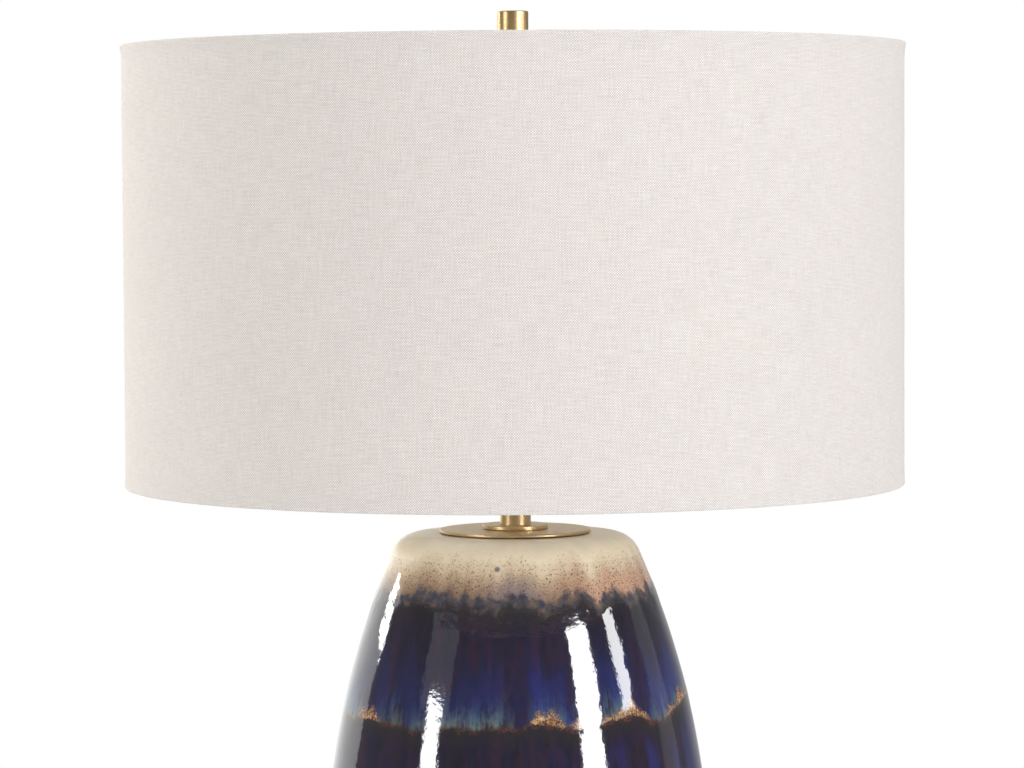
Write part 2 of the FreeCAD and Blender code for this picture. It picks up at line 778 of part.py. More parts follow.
def make_harp_wire():
    """The sprung wire loop, with each foot pressed flat into a tongue that lies beside the saddle's."""
    inner = leg_x - tongue_gap / 2 - saddle_thickness
    foot = Part.makeBox(saddle_thickness, tongue_width, tongue_height + 2.0,
                        Vector(inner, -tongue_width / 2, stop_height))
    return joined([harp_loop(), foot, foot.mirror(Vector(0, 0, 0), Vector(1, 0, 0))])


def make_harp_crown():
    """Brass block crimped on the top of the loop, bored for the seat's pivot."""
    block = tube(crown_radius, 0, harp_top - crown_below_wire, crown_below_wire + crown_above_wire, 0.8)
    wire = Part.makeCylinder(harp_wire_radius, 4 * crown_radius, Vector(-2 * crown_radius, 0, harp_top),
                             Vector(1, 0, 0))
    pivot = disc(pivot_radius + pivot_clearance, crown_top - pivot_depth - 0.2, pivot_depth + 0.2)
    return block.cut([wire, pivot])


def make_harp_seat():
    """Turned brass: a pivot below, a flange that carries the shade, and a threaded stud for the finial."""
    stud_top = seat_top + stud_length
    return turned([
        (0, crown_top - pivot_depth), (pivot_radius, crown_top - pivot_depth), (pivot_radius, crown_top),
        (seat_radius, crown_top, 0.4), (seat_radius, seat_top, 0.4), (stud_radius, seat_top),
        (stud_radius, stud_top, 0.6), (0, stud_top),
    ])


def make_sleeve(side):
    """A drawn ferrule that slides down over both tongues and locks them together."""
    shape = tube(sleeve_bore_radius + sleeve_wall, sleeve_bore_radius, stop_height, sleeve_height, 0.3)
    shape.translate(Vector(side * leg_x, 0, 0))
    return shape


def save_harp():
    save("harp_saddle", make_saddle())
    save("harp_wire", make_harp_wire())
    save("harp_crown", make_harp_crown())
    save("harp_seat", make_harp_seat())
    save("right_harp_sleeve", make_sleeve(1))
    save("left_harp_sleeve", make_sleeve(-1))


# ---------------------------------------------------------------- shade
def arm_wire(clearance=0.0):
    """One arm of the fitter: level under the hub, then up to the top ring."""
    ring_z = shade_top - hem_radius
    angle = math.atan2(ring_z - arm_z, arm_rise_run)
    reach = arm_bend * math.tan(angle / 2)
    knee = ring_radius - arm_rise_run
    start = Vector(seat_radius + 1.2, 0, arm_z)
    before = Vector(knee - reach, 0, arm_z)
    climb = Vector(math.cos(angle), 0, math.sin(angle))
    after = Vector(knee, 0, arm_z) + climb * reach
    middle = before + Vector(arm_bend * math.sin(angle / 2), 0, arm_bend * (1 - math.cos(angle / 2)))
    edges = [
        Part.LineSegment(start, before).toShape(),
        Part.Arc(before, middle, after).toShape(),
        Part.LineSegment(after, Vector(ring_radius, 0, ring_z)).toShape(),
    ]
    return swept(edges, arm_wire_radius + clearance)


def ring(z):
    return Part.makeTorus(ring_radius, ring_wire_radius, Vector(0, 0, z))


def make_fitter_arms():
    top_ring = ring(shade_top - hem_radius)
    return [arm.cut(top_ring) for arm in spun(arm_wire(), arm_count, arm_start_angle)]


def make_shade_fabric():
    """One sheet, turned over both ring wires. Its turned-in edge is notched where the fitter's arms pass."""
    r, t, h, d = shade_radius, fabric_thickness, hem_radius, hem_depth
    low, high = shade_bottom, shade_top

    def line(a, b):
        return Part.LineSegment(Vector(a[0], 0, a[1]), Vector(b[0], 0, b[1])).toShape()

    def roll(a, m, b):
        return Part.Arc(Vector(a[0], 0, a[1]), Vector(m[0], 0, m[1]), Vector(b[0], 0, b[1])).toShape()

    inner, flap = r - 2 * h, r - 2 * h + t
    edges = [
        line((r, low + h), (r, high - h)),
        roll((r, high - h), (r - h, high), (inner, high - h)),
        line((inner, high - h), (inner, high - d)),
        line((inner, high - d), (flap, high - d)),
        line((flap, high - d), (flap, high - h)),
        roll((flap, high - h), (r - h, high - t), (r - t, high - h)),
        line((r - t, high - h), (r - t, low + h)),
        roll((r - t, low + h), (r - h, low + t), (flap, low + h)),
        line((flap, low + h), (flap, low + d)),
        line((flap, low + d), (inner, low + d)),
        line((inner, low + d), (inner, low + h)),
        roll((inner, low + h), (r - h, low), (r, low + h)),
    ]
    sheet = Part.Face(Part.Wire(edges)).revolve(Vector(0, 0, 0), UP, 360)
    inner_side = disc(ring_radius, shade_bottom, shade_height)
    notches = [arm.common(inner_side) for arm in spun(arm_wire(arm_notch_clearance), arm_count, arm_start_angle)]
    return sheet.cut(notches)


def save_shade():
    liner_outside = shade_radius - fabric_thickness
    save("shade_fabric", make_shade_fabric())
    save("shade_liner", tube(liner_outside, liner_outside - shade_liner_thickness, shade_bottom + hem_radius,
                             shade_height - 2 * hem_radius))
    save("shade_top_ring", ring(shade_top - hem_radius))
    save("shade_bottom_ring", ring(shade_bottom + hem_radius))
    save("fitter_hub", tube(hub_radius, hub_hole_radius, hub_top - hub_thickness, hub_thickness, 0.3))
    save("fitter_arms", *make_fitter_arms())


# ---------------------------------------------------------------- finial
def make_finial():
    """A plain cylinder with softened ends, tapped from below for the harp's stud."""
    body = tube(finial_radius, 0, hub_top, finial_height, finial_rounding)
    depth = stud_length - hub_thickness + finial_hole_spare
    return body.cut(disc(stud_radius + finial_hole_clearance, hub_top, depth))


# ---------------------------------------------------------------- build
os.makedirs("parts", exist_ok=True)
save("felt_pad", make_felt_pad())
save("ceramic_body", make_ceramic_body())
save("cord_bushing", make_cord_bushing())
save_rod_and_hardware()
save_socket()
save_switch()
save_bulb()
save_harp()
save_shade()
save("finial", make_finial())
print(f"lamp {overall_height:.1f} mm tall, shade {2 * shade_radius:.1f} by {shade_height:.1f} mm")
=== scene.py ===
import math

import bmesh
import bpy
from mathutils import Matrix, Vector, noise


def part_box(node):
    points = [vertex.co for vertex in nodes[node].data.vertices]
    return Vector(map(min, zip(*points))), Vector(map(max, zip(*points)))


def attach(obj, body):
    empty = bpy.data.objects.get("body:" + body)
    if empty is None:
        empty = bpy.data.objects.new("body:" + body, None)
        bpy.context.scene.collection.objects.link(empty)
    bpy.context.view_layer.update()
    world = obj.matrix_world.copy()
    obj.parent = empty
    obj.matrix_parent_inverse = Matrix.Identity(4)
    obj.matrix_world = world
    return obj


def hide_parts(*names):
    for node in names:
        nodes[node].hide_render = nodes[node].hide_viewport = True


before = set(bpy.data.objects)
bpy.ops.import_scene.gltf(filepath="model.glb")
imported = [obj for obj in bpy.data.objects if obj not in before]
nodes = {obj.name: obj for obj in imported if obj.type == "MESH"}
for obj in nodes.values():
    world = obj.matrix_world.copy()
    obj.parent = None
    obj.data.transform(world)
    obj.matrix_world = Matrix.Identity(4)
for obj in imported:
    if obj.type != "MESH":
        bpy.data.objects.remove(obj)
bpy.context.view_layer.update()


# ---------------------------------------------------------------- felt pad
# A disc of pressed wool felt, cut with a die and glued into the foot ring so that the lamp doesn't scratch
# the table. Its cut edge is a little fuzzy and its faces are slightly uneven.
mm = 0.001


def tint(red, green, blue):
    """A display colour as the linear colour that a shader takes."""
    linear = [((c / 255 + 0.055) / 1.055) ** 2.4 if c > 10 else c / 3295 for c in (red, green, blue)]
    return (*linear, 1.0)


def add_node(tree, kind, inputs=None, **settings):
    """A shader node whose inputs are set to values or fed from other nodes."""
    made = tree.nodes.new("ShaderNode" + kind)
    for setting, value in settings.items():
        setattr(made, setting, value)
    for socket, value in (inputs or {}).items():
        if isinstance(value, bpy.types.NodeSocket):
            tree.links.new(value, made.inputs[socket])
        else:
            made.inputs[socket].default_value = value
    return made


class Finish:
    """A material being made: its shader, and short calls that each add one node."""

    def __init__(self, name, **sockets):
        self.material = bpy.data.materials.new(name)
        self.material.use_nodes = True
        self.tree = self.material.node_tree
        self.shader = self.tree.nodes["Principled BSDF"]
        for socket, value in sockets.items():
            self.shader.inputs[socket.replace("_", " ")].default_value = value
        self.place = self.node("TexCoord").outputs["Object"]

    def node(self, kind, inputs=None, **settings):
        return add_node(self.tree, kind, inputs, **settings)

    def maths(self, operation, a, b=0.0, c=0.0):
        return self.node("Math", {0: a, 1: b, 2: c}, operation=operation).outputs[0]

    def product(self, first, *others):
        for other in others:
            first = self.maths("MULTIPLY", first, other)
        return first

    def apart(self, vector):
        return self.node("SeparateXYZ", {0: vector}).outputs

    def together(self, x, y, z):
        return self.node("CombineXYZ", {0: x, 1: y, 2: z}).outputs[0]

    def stretched(self, scale):
        return self.node("Mapping", {"Vector": self.place, "Scale": scale}).outputs[0]

    def noise(self, size, detail=2.0, roughness=0.5, vector=None, distortion=0.0):
        """Noise from 0 to 1 whose lumps are about this size, in metres."""
        return self.node("TexNoise", {"Vector": vector or self.place, "Scale": 1.0 / size, "Detail": detail,
                                      "Roughness": roughness, "Distortion": distortion}).outputs[0]

    def step(self, value, low, high):
        """0 below low and 1 above high, with a smooth rise between them."""
        return self.node("MapRange", {"Value": value, "From Min": low, "From Max": high},
                         interpolation_type="SMOOTHSTEP").outputs[0]

    def ramp(self, value, stops):
        made = self.node("ValToRGB", {0: value})
        elements = made.color_ramp.elements
        elements[0].position, elements[0].color = stops[0][0], stops[0][1]
        elements[1].position, elements[1].color = stops[-1][0], stops[-1][1]
        for position, colour in stops[1:-1]:
            elements.new(position).color = colour
        return made.outputs[0]

    def mix(self, amount, a, b, blend="MIX"):
        made = self.node("Mix", {0: amount, 6: a, 7: b}, data_type="RGBA", blend_type=blend)
        return made.outputs[2]

    def relief(self, height, depth, under=None):
        """A bump whose full height is depth, in metres."""
        made = self.node("Bump", {"Height": height, "Distance": depth, "Strength": 1.0})
        if under:
            self.tree.links.new(under, made.inputs["Normal"])
        return made.outputs[0]

    def feed(self, **sockets):
        for socket, value in sockets.items():
            self.tree.links.new(value, self.shader.inputs[socket.replace("_", " ")])
        return self.material


def dress(material, *names):
    """Gives CAD nodes this material."""
    for name in names:
        data = nodes[name].data
        data.materials.clear()
        data.materials.append(material)


def as_object(name, bm):
    """Puts a finished bmesh in the scene as an object."""
    mesh = bpy.data.meshes.new(name)
    bm.to_mesh(mesh)
    bm.free()
    made = bpy.data.objects.new(name, mesh)
    bpy.context.scene.collection.objects.link(made)
    return made


def new_piece(name, bm, material, body, sharp_above=35):
    """A finished piece from a bmesh, riding on its body."""
    piece = as_object(name, bm)
    piece.data.materials.append(material)
    for face in piece.data.polygons:
        face.use_smooth = True
    piece.data.set_sharp_from_angle(angle=math.radians(sharp_above))
    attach(piece, body)
    return piece


def spin_point(bm, point, centre, degrees, steps):
    """Turns a point about a centre in the XZ plane, which leaves an arc of edges. Positive degrees climb."""
    made = bmesh.ops.spin(bm, geom=[point], cent=centre, axis=(0, 1, 0), angle=-math.radians(degrees),
                          steps=steps)
    return made["geom_last"][0]


def run_to(bm, point, x, z, steps=1):
    """Extrudes a point in a straight run of edges."""
    start = point.co.copy()
    for i in range(steps):
        made = bmesh.ops.extrude_vert_indiv(bm, verts=[point])
        point = made["verts"][0]
        point.co = start.lerp(Vector((x, 0, z)), (i + 1) / steps)
    return point


def turn_about_axis(bm, steps):
    """Spins everything drawn so far about the Z axis, into a closed skin that faces outwards."""
    bmesh.ops.spin(bm, geom=bm.verts[:] + bm.edges[:], cent=(0, 0, 0), axis=(0, 0, 1), angle=2 * math.pi,
                   steps=steps, use_merge=True)
    bmesh.ops.remove_doubles(bm, verts=bm.verts[:], dist=1e-7)
    bmesh.ops.recalc_face_normals(bm, faces=bm.faces[:])


felt_low, felt_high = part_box("felt_pad")
felt_radius, felt_edge, felt_middle = felt_high.x, 0.3 * mm, 1 * mm
felt = Finish("wool_felt", Roughness=0.95, Specular_IOR_Level=0.2, Sheen_Weight=0.35, Sheen_Roughness=0.6)
felt_fibre = felt.noise(0.7 * mm, 5.0, 0.7, distortion=1.5)
felt_cloud = felt.noise(9 * mm, 3.0)
felt_shade = felt.maths("MULTIPLY_ADD", felt_fibre, 0.7, felt.product(felt_cloud, 0.3))
felt.feed(Base_Color=felt.ramp(felt_shade, [(0.3, tint(26, 24, 23)), (0.7, tint(62, 58, 54))]),
          Normal=felt.relief(felt_fibre, 0.25 * mm))
bm = bmesh.new()
point = bm.verts.new((felt_middle, 0, felt_high.z))
point = run_to(bm, point, felt_radius - felt_edge, felt_high.z, 12)
point = spin_point(bm, point, (felt_radius - felt_edge, 0, felt_high.z - felt_edge), -90, 2)
point = run_to(bm, point, felt_radius, felt_low.z + felt_edge, 2)
point = spin_point(bm, point, (felt_radius - felt_edge, 0, felt_low.z + felt_edge), -90, 2)
run_to(bm, point, felt_middle, felt_low.z, 12)
turn_about_axis(bm, 180)
bmesh.ops.holes_fill(bm, edges=[e for e in bm.edges if e.is_boundary], sides=0)
for v in bm.verts:
    fuzz = noise.noise(v.co * 900)
    flat = Vector((v.co.x, v.co.y, 0))
    if flat.length > felt_radius - 1 * mm:
        v.co += flat.normalized() * fuzz * 0.25 * mm
    v.co.z = min(max(v.co.z + fuzz * 0.05 * mm, felt_low.z), felt_high.z)
bmesh.ops.recalc_face_normals(bm, faces=bm.faces[:])
felt_disc = new_piece("felt_disc", bm, felt.material, "base")
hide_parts("felt_pad")


# ---------------------------------------------------------------- glazed body
# Slip-cast stoneware, open under the foot and through the top for the rod. It is dipped and poured in layers
# of reactive glaze, which run down, pool in soft drips and break into speckles. The inside is bare clay.
foot_radius, belly_radius, belly_z = 62 * mm, 102 * mm, 227 * mm
body_low, body_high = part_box("ceramic_body")
body_bottom, body_top = body_low.z, body_high.z
shoulder_radius, shoulder_round, foot_round = 60.8 * mm, 15 * mm, 2 * mm
wall, top_thickness, inner_round = 6 * mm, 8 * mm, 9 * mm
recess_radius, recess_top, floor_top = 55 * mm, 24 * mm, 32 * mm
rod_hole, hole_edge = 6.5 * mm, 0.5 * mm
hidden_top = 26 * mm  # the vase cap lies over the top within this radius, where the mesh can be plain
turns = 336


def side_arc(height, drop):
    """Radius of the arc that stands upright at the belly and comes in by drop over height."""
    return (height**2 + drop**2) / (2 * drop)


upper_arc = side_arc(body_top - belly_z, belly_radius - shoulder_radius)
lower_arc = side_arc(belly_z - body_bottom, belly_radius - foot_radius)


def corner_centre(arc, level, rounding, inset=0.0):
    """Where a rounded corner that touches the side and a level plane has its centre, and how far up the
    side's own arc it starts, in degrees."""
    side = 1 if level > belly_z else -1
    rise = level - side * rounding - belly_z
    reach = arc - inset - rounding
    across = belly_radius - arc + math.sqrt(reach**2 - rise**2)
    return Vector((across, 0, level - side * rounding)), math.degrees(math.asin(rise / reach))


bm = bmesh.new()
upper_centre = (belly_radius - upper_arc, 0, belly_z)
lower_centre = (belly_radius - lower_arc, 0, belly_z)
cavity_top = body_top - top_thickness

belly = bm.verts.new((belly_radius, 0, belly_z))
centre, climb = corner_centre(upper_arc, body_top, shoulder_round)
point = spin_point(bm, belly, upper_centre, climb, 96)
point = spin_point(bm, point, centre, 90 - climb, 16)
point = run_to(bm, point, hidden_top, body_top, 6)
point = run_to(bm, point, rod_hole + hole_edge, body_top)
point = run_to(bm, point, rod_hole, body_top - hole_edge)
point = run_to(bm, point, rod_hole, cavity_top)
centre, climb = corner_centre(upper_arc, cavity_top, inner_round, wall)
point = run_to(bm, point, centre.x, cavity_top, 2)
point = spin_point(bm, point, centre, climb - 90, 4)
point = spin_point(bm, point, upper_centre, -climb, 14)
inner_low = math.degrees(math.asin((belly_z - floor_top) / (lower_arc - wall)))
point = spin_point(bm, point, lower_centre, -inner_low, 14)
point = run_to(bm, point, rod_hole, floor_top, 2)
point = run_to(bm, point, rod_hole, recess_top)
point = run_to(bm, point, recess_radius, recess_top, 3)
point = run_to(bm, point, recess_radius, body_bottom, 2)
centre, drop = corner_centre(lower_arc, body_bottom, foot_round)
point = run_to(bm, point, centre.x, body_bottom)
point = spin_point(bm, point, centre, 90 + drop, 4)
spin_point(bm, point, lower_centre, -drop, 112)
bmesh.ops.remove_doubles(bm, verts=bm.verts[:], dist=1e-6)
turn_about_axis(bm, turns)


def smooth_bump(offset, width):
    """1 at no offset, falling to 0 at the width."""
    share = max(0.0, 1.0 - (offset / width) ** 2)
    return share * share


def spread(angle, dabs):
    """The sum of listed dabs round the body: (degrees from the front, half its width, height)."""
    total = 0.0
    for middle, width, height in dabs:
        total += height * smooth_bump((angle - middle + 180) % 360 - 180, width)
    return total


def wander(around, size, seed):
    """Noise from -1 to 1 round the body, in lumps of this size."""
    return noise.noise(Vector((around.x / size, around.y / size, seed)))


# where the froth stands higher, and how tall it is there: upper band, then lower band
band_lifts = ((-56, 14, 2.0), (11, 14, 2.5), (38, 16, 4.5), (84, 34, 8.0), (150, 25, 4.0), (-110, 30, 6.0))
band_froth = ((-57, 11, 4.0), (10, 9, 5.5), (21, 5, 3.6), (38, 13, 6.0), (70, 16, 5.0), (98, 9, 4.0),
              (137, 14, 5.5), (166, 7, 3.5), (-108, 18, 5.5), (-86, 6, 3.2), (-146, 12, 5.0))
low_lifts = ((-80, 30, 5.0), (-20, 22, 3.5), (30, 26, 5.0), (120, 30, 4.0), (178, 26, 5.0))
low_froth = ((-84, 16, 5.5), (-60, 6, 3.4), (-16, 11, 5.0), (4, 5, 3.2), (34, 15, 6.0), (62, 7, 3.6),
             (110, 17, 5.0), (139, 6, 3.4), (172, 14, 5.5), (-136, 10, 4.6))
band_z, low_band_z, cream_z = 321.5 * mm, 168 * mm, 385.5 * mm
switch_z = 240 * mm  # above this the upper band's lines count, and below it the lower band's
groove_z = 352 * mm  # a faint hollow between two runs of glaze
pattern_radius = 90 * mm  # patterns are laid out on a cylinder of this radius, so that they don't spread


def glaze_lines(co):
    """For a point of the skin, in millimetres: its height above the band, how tall the froth is there, and
    its height above the cream's edge."""
    around = Vector((co.x, co.y, 0)) * (pattern_radius / max(math.hypot(co.x, co.y), 1e-4))
    angle = math.degrees(math.atan2(co.x, -co.y))
    upper = co.z > switch_z
    lifts, froths, middle = (band_lifts, band_froth, band_z) if upper else (low_lifts, low_froth, low_band_z)
    line = middle / mm + spread(angle, lifts) + 1.6 * wander(around, 14 * mm, middle * 90)
    line += 1.3 * wander(around, 5 * mm, middle * 70) + 2.2 * wander(around, 38 * mm, middle * 50)
    froth = 1.0 + spread(angle, froths) * (1 + 1.3 * wander(around, 6 * mm, 4.2))
    edge = cream_z / mm + 5.5 * wander(around, 13 * mm, 8.3) + 3.0 * wander(around, 5.5 * mm, 2.1)
    return co.z / mm - line, max(froth, 0.6), co.z / mm - edge


def glazed_depth(co):
    """How far a point of the outer skin stands off its true surface: throwing waves, runs and ledges."""
    if co.z < 5 * mm:
        return 0.0
    around = Vector((co.x, co.y, 0)) * (pattern_radius / math.hypot(co.x, co.y))
    z = co.z
    waves = 0.10 * noise.noise(Vector((around.x * 9, around.y * 9, z * 22)))
    waves += 0.03 * noise.noise(Vector((around.x * 14, around.y * 14, z * 75)))
    runs = 0.10 * noise.noise(Vector((around.x * 60, around.y * 60, z * 7 + 3)))
    lumps = 0.06 * noise.noise(Vector((around.x * 85, around.y * 85, z * 85 + 7)))
    over_band, froth, over_cream = glaze_lines(co)
    ledge = (0.10 + 0.012 * froth) * math.exp(-((over_band - froth / 2) / 3.4) ** 2)
    ledge += 0.24 * math.exp(-((over_cream + 4.5) / 4.2) ** 2)
    ledge -= 0.05 * math.exp(-((z / mm - groove_z / mm - 4 * noise.noise(around * 22)) / 2.2) ** 2)
    fade = min(1.0, (z - 5 * mm) / (12 * mm), (body_top - z) / (9 * mm))
    return (waves + runs + lumps + ledge) * max(fade, 0.0) * mm


def true_side(z):
    """Radius of the side at this height, before the glaze's relief."""
    z = min(max(z, body_bottom), body_top)
    arc = upper_arc if z > belly_z else lower_arc
    return belly_radius - arc + math.sqrt(arc**2 - (z - belly_z) ** 2)


# the cord's hole through the foot wall, and the flat face turned round it for the bushing's flange
bushing_z, cord_hole, flat_face, flat_face_y = 12.5 * mm, 4.6 * mm, 6.7 * mm, 62.5 * mm
hole_start, drill_end = 40 * mm, 90 * mm
rough_body = as_object("rough_body", bm)
drills = []
for name, radius, start in (("hole_drill", cord_hole, hole_start), ("face_cutter", flat_face, flat_face_y)):
    length = drill_end - start
    bm = bmesh.new()
    bmesh.ops.create_cone(bm, cap_ends=True, segments=48, radius1=radius, radius2=radius, depth=length,
                          matrix=Matrix.Translation((0, start + length / 2, bushing_z))
                          @ Matrix.Rotation(math.radians(90), 4, "X"))
    drill = as_object(name, bm)
    cut = rough_body.modifiers.new(name, "BOOLEAN")
    cut.operation, cut.solver, cut.object = "DIFFERENCE", "EXACT", drill
    drills.append(drill)
drilled = rough_body.evaluated_get(bpy.context.evaluated_depsgraph_get()).to_mesh()
bm = bmesh.new()
bm.from_mesh(drilled)
for spare in (rough_body, *drills):
    bpy.data.objects.remove(spare)

# each point of the skin keeps its heights over the glaze lines, then moves by the glaze's own depth
lines = [bm.verts.layers.float.new(name) for name in ("over_band", "froth_height", "over_cream")]
skin_depth, top_depth, calm_radius, calm_ring = 3.5 * mm, 8 * mm, 42 * mm, 0.5 * mm
bm.normal_update()
moves = []
for v in bm.verts:
    for layer, value in zip(lines, glaze_lines(v.co)):
        v[layer] = value
    reach = math.hypot(v.co.x, v.co.y)
    near_hole = math.hypot(v.co.x, v.co.z - bushing_z) < flat_face + calm_ring and v.co.y > 0
    on_top = v.co.z > body_top - top_depth and reach > calm_radius
    skin = on_top or reach > true_side(v.co.z) - skin_depth
    if skin and v.normal.dot(v.co) > 0 and not near_hole:
        moves.append((v, v.normal * glazed_depth(v.co)))
for v, move in moves:
    v.co += move

glaze = Finish("reactive_glaze", Roughness=0.06, IOR=1.62)
x, y, z = glaze.apart(glaze.place)
squares = glaze.maths("MULTIPLY_ADD", x, x, glaze.maths("MULTIPLY", y, y))
reach = glaze.maths("MAXIMUM", glaze.maths("SQRT", squares), 0.02)
scale_in = glaze.maths("DIVIDE", pattern_radius, reach)
round_x = glaze.product(x, scale_in)
round_y = glaze.product(y, scale_in)
right_share = glaze.maths("DIVIDE", x, reach)
front_share = glaze.maths("DIVIDE", y, glaze.product(reach, -1.0))
over_band, froth_height, over_cream = [glaze.node("Attribute", attribute_name=name).outputs["Fac"]
                                       for name in ("over_band", "froth_height", "over_cream")]


def running(stretch, size, detail=2.0, roughness=0.5, lift=0.0):
    """Noise that is drawn out down the side of the body, so that it looks like glaze that has run."""
    drawn = glaze.maths("MULTIPLY_ADD", z, stretch, lift)
    return glaze.noise(size, detail, roughness, glaze.together(round_x, round_y, drawn))


def shifted(value, by, size):
    """A height moved up and down by noise, by up to about half the size."""
    return glaze.maths("MULTIPLY_ADD", glaze.maths("SUBTRACT", by, 0.5), size, value)


z_mm = glaze.product(z, 1000.0)
ragged = glaze.noise(2.4 * mm, 4.0, 0.7)
torn = glaze.noise(5.5 * mm, 4.0, 0.65)
streak = running(0.07, 2.6 * mm, 3.0, 0.6, lift=0.8)
wide_streak = running(0.12, 9 * mm, 3.0, 0.55, lift=1.7)
pool = running(0.30, 15 * mm, 3.0, 0.5, lift=3.1)

# the dark glaze: charcoal, plum and indigo runs, which turn cobalt above the band
dark = glaze.ramp(pool, [(0.28, tint(13, 13, 23)), (0.40, tint(27, 18, 30)), (0.48, tint(15, 15, 37)),
                         (0.56, tint(35, 20, 36)), (0.66, tint(19, 17, 43)), (0.76, tint(16, 13, 24))])
dark = glaze.mix(glaze.product(glaze.step(streak, 0.42, 0.72), 0.35), dark, tint(29, 27, 52))
mottle = glaze.noise(4 * mm, 4.0, 0.7, glaze.stretched((1.0, 1.0, 0.45)))
dark = glaze.mix(glaze.product(glaze.step(mottle, 0.50, 0.36), 0.6), dark, tint(12, 11, 15))
plum = glaze.product(glaze.step(running(0.10, 6 * mm, 3.0, 0.6, lift=9.4), 0.54, 0.70), 0.6)
dark = glaze.mix(plum, dark, tint(44, 20, 44))
charcoal = glaze.product(glaze.step(shifted(over_cream, torn, 10.0), -15.0, -2.0), 0.8)
dark = glaze.mix(charcoal, dark, tint(33, 31, 30))
from_switch = glaze.maths("ABSOLUTE", glaze.maths("SUBTRACT", z_mm, switch_z / mm))
off_switch = glaze.step(from_switch, 3.0, 7.0)
indigo = glaze.product(glaze.step(right_share, 0.1, 0.6), glaze.step(from_switch, 3.0, 40.0),
                       glaze.step(shifted(over_band, wide_streak, 20.0), -6.0, -18.0),
                       glaze.step(running(0.16, 11 * mm, 3.0, lift=5.2), 0.36, 0.62), 0.75)
dark = glaze.mix(indigo, dark, tint(32, 32, 84))
cobalt = glaze.product(glaze.step(shifted(over_band, wide_streak, 44.0), 46.0, 10.0),
                       glaze.step(over_band, -3.0, 3.0), off_switch,
                       glaze.maths("MULTIPLY_ADD", glaze.step(right_share, -0.35, 0.15), 0.55, 0.45),
                       glaze.maths("MULTIPLY_ADD", glaze.step(pool, 0.58, 0.40), 0.6, 0.15))
dark = glaze.mix(cobalt, dark, tint(28, 36, 98))
below_band = glaze.product(glaze.step(shifted(over_band, wide_streak, 12.0), -12.0, -2.0),
                           glaze.step(over_band, 2.0, -1.0), off_switch, 0.8)
dark = glaze.mix(below_band, dark, tint(32, 28, 29))

# pale feathers that stand on the band, in some places only
feather_height = glaze.maths("DIVIDE", over_band, glaze.maths("MULTIPLY_ADD", wide_streak, 50.0, -4.0))
feather_strands = glaze.maths("MULTIPLY_ADD", mottle, 0.5, glaze.product(streak, 0.6))
feather = glaze.product(glaze.step(feather_height, 1.0, 0.05), glaze.step(feather_strands, 0.42, 0.68),
                        glaze.step(running(0.0, 16 * mm, 2.0, lift=6.6), 0.34, 0.60),
                        glaze.step(over_band, -1.5, 1.0), off_switch, 0.8)
feather_colour = glaze.ramp(glaze.maths("DIVIDE", shifted(over_band, streak, 12.0), 24.0), [
    (0.0, tint(112, 116, 92)), (0.2, tint(76, 98, 106)), (0.5, tint(52, 72, 104)), (1.0, tint(35, 44, 86))])
dark = glaze.mix(feather, dark, feather_colour)

# froth where two layers meet: cream and rust grains, a dark rust line under them
froth_grain = glaze.noise(0.95 * mm, 3.0, 0.75)
froth_colour = glaze.ramp(shifted(froth_grain, torn, 0.5), [
    (0.38, tint(48, 32, 30)), (0.46, tint(108, 62, 36)),
    (0.55, tint(150, 112, 70)), (0.68, tint(180, 158, 116))])
froth_up = glaze.maths("DIVIDE", shifted(shifted(over_band, ragged, 9.0), streak, 7.0), froth_height)
froth_low = shifted(over_band, ragged, 3.5)
froth_grit = glaze.noise(0.8 * mm, 2.0, 0.7)
froth_cover = glaze.maths("MULTIPLY_ADD", froth_up, -0.20, froth_grit)
froth_cover = glaze.maths("MULTIPLY_ADD", froth_height, 0.085, froth_cover)
froth = glaze.product(glaze.step(froth_up, 1.3, 0.3), glaze.step(froth_low, -1.0, 0.6),
                      glaze.step(froth_cover, 0.48, 0.72), glaze.step(froth_height, 1.3, 3.4), off_switch)
dark = glaze.mix(froth, dark, froth_colour)
over_line = shifted(shifted(over_band, torn, 6.0), ragged, 4.0)
line_off = glaze.maths("ABSOLUTE", glaze.maths("ADD", over_line, 0.9))
rust_line = glaze.product(glaze.step(line_off, 1.9, 0.5), glaze.step(wide_streak, 0.38, 0.60), off_switch,
                          0.8)
rust_colour = glaze.ramp(froth_grain, [(0.38, tint(38, 27, 30)), (0.58, tint(76, 43, 34)),
                                       (0.74, tint(120, 78, 54))])
dark = glaze.mix(rust_line, dark, rust_colour)

# the cream glaze over it: clean at the top, thicker with brown speckles towards its torn lower edge
edge = shifted(shifted(over_cream, ragged, 5.0), torn, 8.0)
# painted shade: the ramp's last stop, on the upper shoulder and flat top, is a little darker than the stop
# below it
cream = glaze.ramp(glaze.maths("DIVIDE", shifted(over_cream, torn, 6.0), 30.0), [
    (0.00, tint(92, 80, 72)), (0.14, tint(134, 113, 94)), (0.30, tint(168, 146, 120)),
    (0.48, tint(201, 182, 154)), (0.72, tint(220, 205, 178)), (1.0, tint(208, 194, 172))])
peach = glaze.product(glaze.step(right_share, 0.1, 0.75), glaze.step(over_cream, 18.0, 6.0), 0.55)
cream = glaze.mix(peach, cream, tint(214, 168, 141))
over_tear = shifted(over_cream, torn, 8.0)
haze = glaze.product(glaze.step(glaze.maths("ABSOLUTE", right_share), 0.30, 0.06),
                     glaze.step(front_share, 0.5, 0.9), glaze.step(over_tear, 15.0, 3.0), 0.6)
cream = glaze.mix(haze, cream, tint(116, 114, 128))


